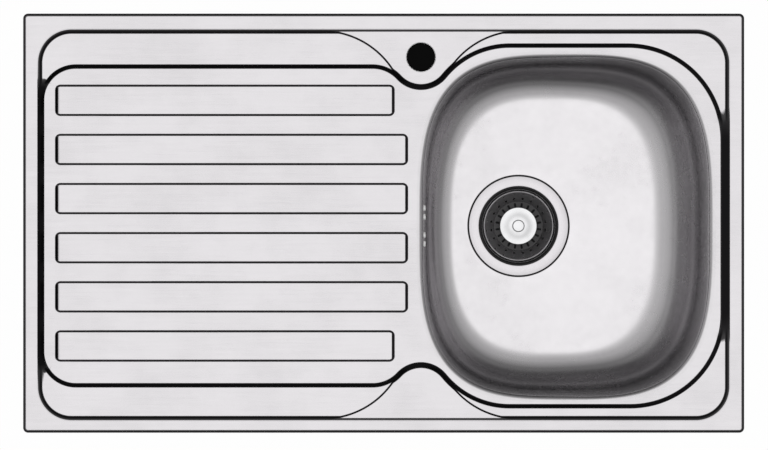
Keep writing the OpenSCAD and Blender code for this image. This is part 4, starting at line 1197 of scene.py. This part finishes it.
slot_row = {"count": 5, "skip": 2, "spacing": SLOT_PITCH, "centre": (SLOT_X, WASTE_Y, SLOT_Z)}
through_wall = {"depth": WALL_CUT, "tilt": 90 - WALL_TILT}
cut_bars(bowl, length=SLOT_LONG, width=SLOT_WIDE, **through_wall, **slot_row)
cut_bars(bowl, count=1, length=SCREW_HOLE, width=SCREW_HOLE, centre=slot_row["centre"], **through_wall)

# %% [markdown]
# White collars of the overflow's head stand through the slots, as the photograph shows four short white
# marks on the wall. One collar is a rounded tube, and the same places repeat it.

# %% Overflow collars
SLEEVE_BACK, SLEEVE_FRONT, SLEEVE_LONG, SLEEVE_WIDE, SLEEVE_T, SLEEVE_ROUND = -2.5, 4.3, 13.4, 6.6, 0.9, 0.3
SLEEVE_FLAT = 0.05


def sleeve_loop(x, thinner):
    """A rounded loop across the x axis, wide along y and long along z."""
    high, wide = SLEEVE_LONG / 2 - thinner, SLEEVE_WIDE / 2 - thinner
    loop = outline(box_arcs(-wide, -high, wide, high, wide - SLEEVE_FLAT), step=15)
    return np.column_stack([np.full(len(loop), x), loop])


sleeve_shell = Shell()
sleeve_shell.strip([sleeve_loop(x, thinner) for x, thinner in (
    (SLEEVE_BACK, 0), (SLEEVE_BACK, SLEEVE_T), (SLEEVE_FRONT, SLEEVE_T), (SLEEVE_FRONT, SLEEVE_ROUND),
    (SLEEVE_FRONT - SLEEVE_ROUND, 0), (SLEEVE_BACK, 0),
)])
sleeves = sleeve_shell.build("overflow_collars", collar_plastic_painted_light, sharp=35)
repeat(sleeves, **slot_row)

# %% [markdown]
# ## The strainer
#
# Every visible piece of the strainer is turned, so each is a section of radius and height swept round the
# waste's axis. The dish sits in the bowl's recess, and its rounded lip drops into a straight cup with drain
# holes in its floor. A bead of sealant fills the gap round its flange.

# %% Dish and sealant
DISH_R, DISH_IN, DISH_FLOOR, DISH_BEND = 44.0, 43.2, -196.0, 2.5
LIP_X, LIP_R = 48.8, 5.6
FLANGE_R, FLANGE_T, FLANGE_ROUND = 59.7, 1.2, 0.5
DRAIN_RING, DRAIN_D, SCREW_D, FLOOR_CUT = 16.5, 7.0, 6.6, 6.0
BEAD_X, BEAD_R, BEAD_SUNK, BEAD_FOOT = 60.5, 0.9, 0.7, 1.9


def swing(x, z, r, start, end, steps=8):
    """Points of an arc in a section, from one angle to another in degrees."""
    angles = np.radians(np.linspace(start, end, steps + 1))
    return [(x + r * math.cos(t), z + r * math.sin(t)) for t in angles]


def lathe(name, section, material, sides=96, sharp=35):
    """A closed section of (radius, height) swept round the waste's axis."""
    r, z = np.array(section).T
    clockwise = np.sum((np.roll(r, -1) - r) * (np.roll(z, -1) + z)) > 0
    ordered = section if clockwise else section[::-1]
    turns = -np.arange(sides) * 2 * math.pi / sides
    circle = np.column_stack([np.cos(turns), np.sin(turns)])
    shell = Shell()
    shell.strip([level(circle * r + (WASTE_X, WASTE_Y), z) for r, z in list(ordered) + [ordered[0]]])
    return shell.build(name, material, sharp=sharp)


outer_bend = DISH_BEND + SHEET
dish_section = (
    swing(FLANGE_R - FLANGE_ROUND, FLANGE_Z - FLANGE_ROUND, FLANGE_ROUND, 0, 90, 4)
    + swing(LIP_X, FLANGE_Z - LIP_R, LIP_R, 90, 180, 12)
    + swing(DISH_IN - DISH_BEND, DISH_FLOOR + outer_bend, DISH_BEND, 360, 270, 6)
    + [(0, DISH_FLOOR + SHEET), (0, DISH_FLOOR)]
    + swing(DISH_R - outer_bend, DISH_FLOOR + outer_bend, outer_bend, 270, 360, 6)
    + swing(LIP_X, FLANGE_Z - LIP_R, LIP_R - FLANGE_T, 180, 90, 12)
    + [(FLANGE_R, FLANGE_Z - FLANGE_T)]
)
dish = lathe("strainer_flange", dish_section, strainer_steel_painted_shade, sides=144)
through_floor = {"depth": FLOOR_CUT, "centre": (WASTE_X, WASTE_Y, DISH_FLOOR + SHEET / 2)}
cut_bars(dish, count=6, ring_radius=DRAIN_RING, length=DRAIN_D, width=DRAIN_D, **through_floor)
cut_bars(dish, count=1, length=SCREW_D, width=SCREW_D, **through_floor)

foot_z = FLANGE_Z - BEAD_FOOT
bead_section = swing(BEAD_X, FLANGE_Z - BEAD_SUNK, BEAD_R, 180, 0, 10)
bead_section += [(BEAD_X + BEAD_R, foot_z), (BEAD_X - BEAD_R, foot_z)]
bead = lathe("sealant_bead", bead_section, black_rubber, sides=144)

# %% [markdown]
# The basket's cup has a rolled rim, a tapering wall and a flat floor. Three rings of twenty openings are
# cut into it: short slots in the floor, slots at the foot of the wall and round holes under the rim.

# %% Basket
BASKET_RIM, BASKET_FLOOR, BASKET_R, RIM_ROLL = -162.0, -188.9, 42.5, 1.25
WALL_LEAN, WALL_TOP_R, HEM_R, HEM_TOP, HEM_LOW = 10.0, 40.8, 41.7, 1.4, 2.4
FOOT_IN, FOOT_IN_R, FOOT_OUT, FOOT_OUT_R = 29.0, 1.2, 29.3, 2.0
STEM_BORE, RING_OF = 3.05, 20

cup_top = BASKET_FLOOR + SHEET
taper = math.atan2(WALL_LEAN, BASKET_RIM - SHEET - cup_top)
hem = [(WALL_TOP_R, HEM_TOP), (HEM_R, HEM_TOP), (HEM_R, HEM_LOW), (BASKET_R, HEM_LOW)]
cup_section = (
    swing(BASKET_R - RIM_ROLL, BASKET_RIM - RIM_ROLL, RIM_ROLL, 0, 180, 12)
    + swing(FOOT_IN, cup_top + FOOT_IN_R, FOOT_IN_R, 340, 270, 5)
    + [(STEM_BORE, cup_top), (STEM_BORE, BASKET_FLOOR)]
    + swing(FOOT_OUT, BASKET_FLOOR + FOOT_OUT_R, FOOT_OUT_R, 270, 340, 5)
    + [(r, BASKET_RIM - below) for r, below in hem]
)
cup = lathe("basket_cup_sheet", cup_section, darkened_steel, sides=120)

# %% [markdown]
# Each ring of openings has its own radius, height and size: (radius, height, length, width, depth, tilt).
# The two upper rings are tilted to stand square to the wall.

# %% Openings of the basket
WALL_SLOT, FOOT_RING, HOLE_RING, FLOOR_RING = 8.0, 30.0, 38.3, 25.0
along_wall = 90 + math.degrees(taper)
wall_ring = FOOT_RING + WALL_SLOT * math.sin(taper)
wall_slot_z = BASKET_FLOOR + WALL_SLOT * math.cos(taper)

for radius, z, length, width, depth, tilt in (
    (FLOOR_RING, BASKET_FLOOR + SHEET / 2, 5.6, 2.5, 4.0, 0.0),
    (wall_ring, wall_slot_z, WALL_SLOT, 2.7, 5.0, along_wall),
    (HOLE_RING, BASKET_RIM - 4.0, 3.0, 3.0, 6.0, along_wall),
):
    bar_sizes = {"length": length, "width": width, "depth": depth, "tilt": tilt}
    cut_bars(cup, count=RING_OF, ring_radius=radius, centre=(WASTE_X, WASTE_Y, z), **bar_sizes)

# %% [markdown]
# The pull disc has a rolled brow and a crown that rises in one soft wave to the knob, so it mirrors the
# light in rings, as the photograph shows. The knob stands on a narrower neck.

# %% Pull disc and knob
CAP_R, CAP_Z, CAP_H = 22.5, -188.1, 6.0
CAP_ROLL, CAP_SHOULDER, CAP_WAVE, CROWN_R, CROWN_START = 0.9, 4.9, 0.7, 5.0, 0.6
KNOB_Z, KNOB_R, KNOB_H, KNOB_BELLY = -182.1, 7.4, 10.0, 4.5
NECK_R, NECK_H, UNDER_R, TOP_R = 4.5, 2.6, 1.0, 1.5

brow = CAP_R - CAP_ROLL
crown = swing(brow, CAP_Z + CAP_SHOULDER - CAP_ROLL, CAP_ROLL, 0, 88, 10)
for r in np.linspace(brow - CROWN_START, CROWN_R, 24):
    share = (brow - r) / (brow - CROWN_R)
    lift = (CAP_H - CAP_SHOULDER) * (share - CAP_WAVE / math.tau * math.sin(math.tau * share))
    crown.append((r, CAP_Z + CAP_SHOULDER + lift))
cap_section = [(CAP_R, CAP_Z)] + crown + [(STEM_BORE, CAP_Z + CAP_H), (STEM_BORE, CAP_Z)]
cap = lathe("pull_disc", cap_section, polished_steel)
knob_section = (
    [(0, KNOB_Z), (NECK_R, KNOB_Z), (NECK_R, KNOB_Z + NECK_H)]
    + swing(KNOB_R - UNDER_R, KNOB_Z + KNOB_BELLY, UNDER_R, 300, 360, 4)
    + swing(KNOB_R - TOP_R, KNOB_Z + KNOB_H - TOP_R, TOP_R, 0, 90, 8)
    + [(0, KNOB_Z + KNOB_H)]
)
knob = lathe("pull_knob", knob_section, polished_steel, sides=64)

# %% [markdown]
# ## The waste body's thread and grips
#
# Under the bowl, the waste body is moulded with a thread on its outlet, which a trap screws on to, and with
# upright grips for a hand to hold it by. The thread is a turned stack of ridges. One grip is a small
# rounded bar, and the repeating tree sets it round the body.

# %% Thread and grips of the waste body
OUTLET_R, THREAD_H, THREAD_PITCH, THREAD_TOP, THREAD_TURNS, THREAD_ROOT = 23.9, 0.75, 2.5, -235.0, 9, 1.0
ridge = ((0.0, 0.0), (THREAD_H, 0.7), (THREAD_H, 1.0), (0.0, 1.7))
GRIP_DEEP, GRIP_WIDE, GRIP_HIGH, GRIP_ROUND, GRIP_BEVEL = 1.8, 2.6, 18.0, 0.8, 0.5
GRIP_COUNT, BODY_R, GRIP_Z = 36, 50.0, -199.0

thread_section = [(OUTLET_R - THREAD_ROOT, THREAD_TOP)]
for turn in range(THREAD_TURNS):
    z = THREAD_TOP - turn * THREAD_PITCH
    thread_section += [(OUTLET_R + out, z - down) for out, down in ridge]
thread_section.append((OUTLET_R - THREAD_ROOT, thread_section[-1][1]))
thread = lathe("outlet_thread", thread_section, white_plastic, sides=72, sharp=30)

grip_box = box_arcs(-GRIP_DEEP / 2, -GRIP_WIDE / 2, GRIP_DEEP / 2, GRIP_WIDE / 2, GRIP_ROUND)
grip_loop = outline(grip_box, step=45)
grip_top = GRIP_HIGH / 2
grip_levels = [(0.0, grip_top), (0.7, grip_top), (1.0, grip_top - GRIP_BEVEL)]
grip_levels += [(size, -z) for size, z in grip_levels[::-1]]
grip_shell = Shell()
grip_shell.strip([level(grip_loop * size, z) for size, z in grip_levels])
grips = grip_shell.build("body_grips", white_plastic, sharp=40)
repeat(grips, count=GRIP_COUNT, ring_radius=BODY_R + GRIP_DEEP / 4, centre=(WASTE_X, WASTE_Y, GRIP_Z))

# %% [markdown]
# ## Riding on the frame
#
# Each new piece says which CAD node it stands for, if any, and which body carries it, so it moves as the
# CAD does. It also names the slot of the record that its finish belongs to.

# %% Bodies and slots
for piece, node, body, slot in (
    (deck, "deck", "sink", "brushed_steel"),
    (bowl, "bowl", "sink", "brushed_steel"),
    (dish, "strainer_dish", "sink", "polished_steel"),
    (bead, None, "sink", "black_rubber"),
    (sleeves, None, "sink", "white_plastic"),
    (thread, None, "sink", "white_plastic"),
    (grips, None, "sink", "white_plastic"),
    (cup, "basket_cup", "basket", "darkened_steel"),
    (cap, "basket_cap", "basket", "polished_steel"),
    (knob, "basket_knob", "basket", "polished_steel"),
):
    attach(piece, body)
    if node:
        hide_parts(node)
print("pieces on their bodies")

# %% [markdown]
# ## The sky
#
# Polished metal shows its surroundings, so the set is a dome to reflect. It is brightest overhead, which
# makes every level face bright, and dimmer all round, so that the bowl's foot and walls, which look
# sideways, come out grey. Towards the front, the back and the right it is dimmer still, which sets those
# walls apart. Only reflections see the dome, and a plain white world lights the rest.

# %% World and dome
DOME_R, FLOOR_LEVEL = 20.0, -0.268
SKY_STRENGTH = 1.2
SKY_STOPS = [
    (0.0, 1.0), (0.11, 0.98), (0.175, 0.62), (0.28, 0.5), (0.4, 0.56), (0.55, 0.78), (0.9, 0.78), (1.0, 0.5),
]
SIDE_DIP, RIGHT_DIP, SIDE_POWER = 0.45, 0.3, 1.4
DOME_SIDES, DOME_RINGS = 96, 40

world = bpy.data.worlds.new("studio")
world.use_nodes = True
bpy.context.scene.world = world
world.node_tree.nodes.clear()
sky = wire(world.node_tree, "ShaderNodeBackground", {"Color": (1, 1, 1, 1), "Strength": 1.0})
wire(world.node_tree, "ShaderNodeOutputWorld", {"Surface": sky.outputs[0]})

dome_light, tree, place = node_material("dome_light")
where = split(tree, place)
to_right, to_back, to_zenith = (maths(tree, "MULTIPLY", where[axis], 1 / DOME_R) for axis in "XYZ")
from_zenith = maths(tree, "MULTIPLY", maths(tree, "ARCCOSINE", to_zenith), 2 / math.pi)
shade = ramped(tree, from_zenith, SKY_STOPS)
to_ends = maths(tree, "POWER", maths(tree, "ABSOLUTE", to_back), SIDE_POWER)
to_right = maths(tree, "POWER", maths(tree, "MAXIMUM", to_right, 0.0), SIDE_POWER)
dimmed = maths(tree, "MULTIPLY_ADD", to_ends, -SIDE_DIP, 1.0)
dimmed = maths(tree, "MULTIPLY_ADD", to_right, -RIGHT_DIP, dimmed)
strength = maths(tree, "MULTIPLY", dimmed, SKY_STRENGTH)
glow = wire(tree, "ShaderNodeEmission", {"Color": shade, "Strength": strength})
wire(tree, "ShaderNodeOutputMaterial", {"Surface": glow.outputs[0]})
dome_light.cycles.emission_sampling = "NONE"

turns = np.arange(DOME_SIDES) * math.tau / DOME_SIDES
circle = np.column_stack([np.cos(turns), np.sin(turns)]) * DOME_R / MM
lowest = math.asin(FLOOR_LEVEL / DOME_R)
climbs = np.linspace(lowest, math.pi / 2, DOME_RINGS)
dome_shell = Shell()
dome_shell.strip([level(circle * math.cos(t), DOME_R / MM * math.sin(t)) for t in climbs])
dome = dome_shell.build("dome", dome_light, sharp=60)
dome.visible_camera = False
dome.visible_diffuse = False
dome.visible_transmission = False
dome.visible_shadow = False
dome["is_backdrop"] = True

# %% [markdown]
# ## Floor and card
#
# The floor is white to the camera, the same as the background, and keeps a faint shadow. A small black card
# in the tap hole is painted shade: it stands for the dark inside of a cupboard under the sink. Both are clear
# from below, so that the underside can be looked at too.

# %% Floor and card
FLOOR_WHITE, FLOOR_REACH = 0.97, 30.0
CARD_Z, CARD_GAP = 1.2, 0.15


def end_one_sided(tree, shader):
    """Ends a material with a shader that is clear from behind."""
    clear = wire(tree, "ShaderNodeBsdfTransparent").outputs[0]
    behind = wire(tree, "ShaderNodeNewGeometry").outputs["Backfacing"]
    mixed = wire(tree, "ShaderNodeMixShader", {0: behind, 1: shader, 2: clear})
    wire(tree, "ShaderNodeOutputMaterial", {"Surface": mixed.outputs[0]})


def staged_sheet(name, loop, z, material):
    """A level face of the set that looks up, from an anticlockwise loop."""
    shell = Shell()
    shell.add(level(loop, z), level(np.zeros_like(loop), 1), [list(range(len(loop)))])
    shell.build(name, material)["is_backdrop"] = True


floor_paint, tree, place = node_material("floor_paint")
tone = between_colours(tree, noise(tree, place, 3.0), (0.86, 0.86, 0.86), (0.88, 0.88, 0.88))
paper = wire(tree, "ShaderNodeBsdfDiffuse", {"Color": tone})
white = wire(tree, "ShaderNodeEmission", {"Color": (1, 1, 1, 1), "Strength": 1.0})
path = wire(tree, "ShaderNodeLightPath").outputs
mirrored = maths(tree, "MAXIMUM", path["Is Glossy Ray"], path["Is Transmission Ray"])
seen = maths(tree, "MAXIMUM", path["Is Camera Ray"], mirrored)
mostly = maths(tree, "MULTIPLY", seen, FLOOR_WHITE)
lit = wire(tree, "ShaderNodeMixShader", {0: mostly, 1: paper.outputs[0], 2: white.outputs[0]})
end_one_sided(tree, lit.outputs[0])
reach = FLOOR_REACH / MM
corner_points = np.array([(-reach, -reach), (reach, -reach), (reach, reach), (-reach, reach)])
staged_sheet("floor", corner_points, FLOOR_LEVEL / MM, floor_paint)

# Painted shade: a black sheet in the tap hole, for the dark cupboard under the sink.
card_painted_shade, tree, place = node_material("card_painted_shade")
black = wire(tree, "ShaderNodeBsdfDiffuse", {"Color": (0.004, 0.004, 0.004, 1)})
end_one_sided(tree, black.outputs[0])
card_outline = outline([(*tap, TAP_R - CARD_GAP, 0, 360)], step=12)[:-1]
staged_sheet("tap_hole_painted_shade", card_outline, CARD_Z, card_painted_shade)

# %% Bounds
dressed_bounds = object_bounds()
sizes = {"cad": [list(corner) for corner in cad_bounds], "dressed": [list(corner) for corner in dressed_bounds]}
for name, (low, high) in sizes.items():
    print(name, [round(v, 5) for v in low], [round(v, 5) for v in high])
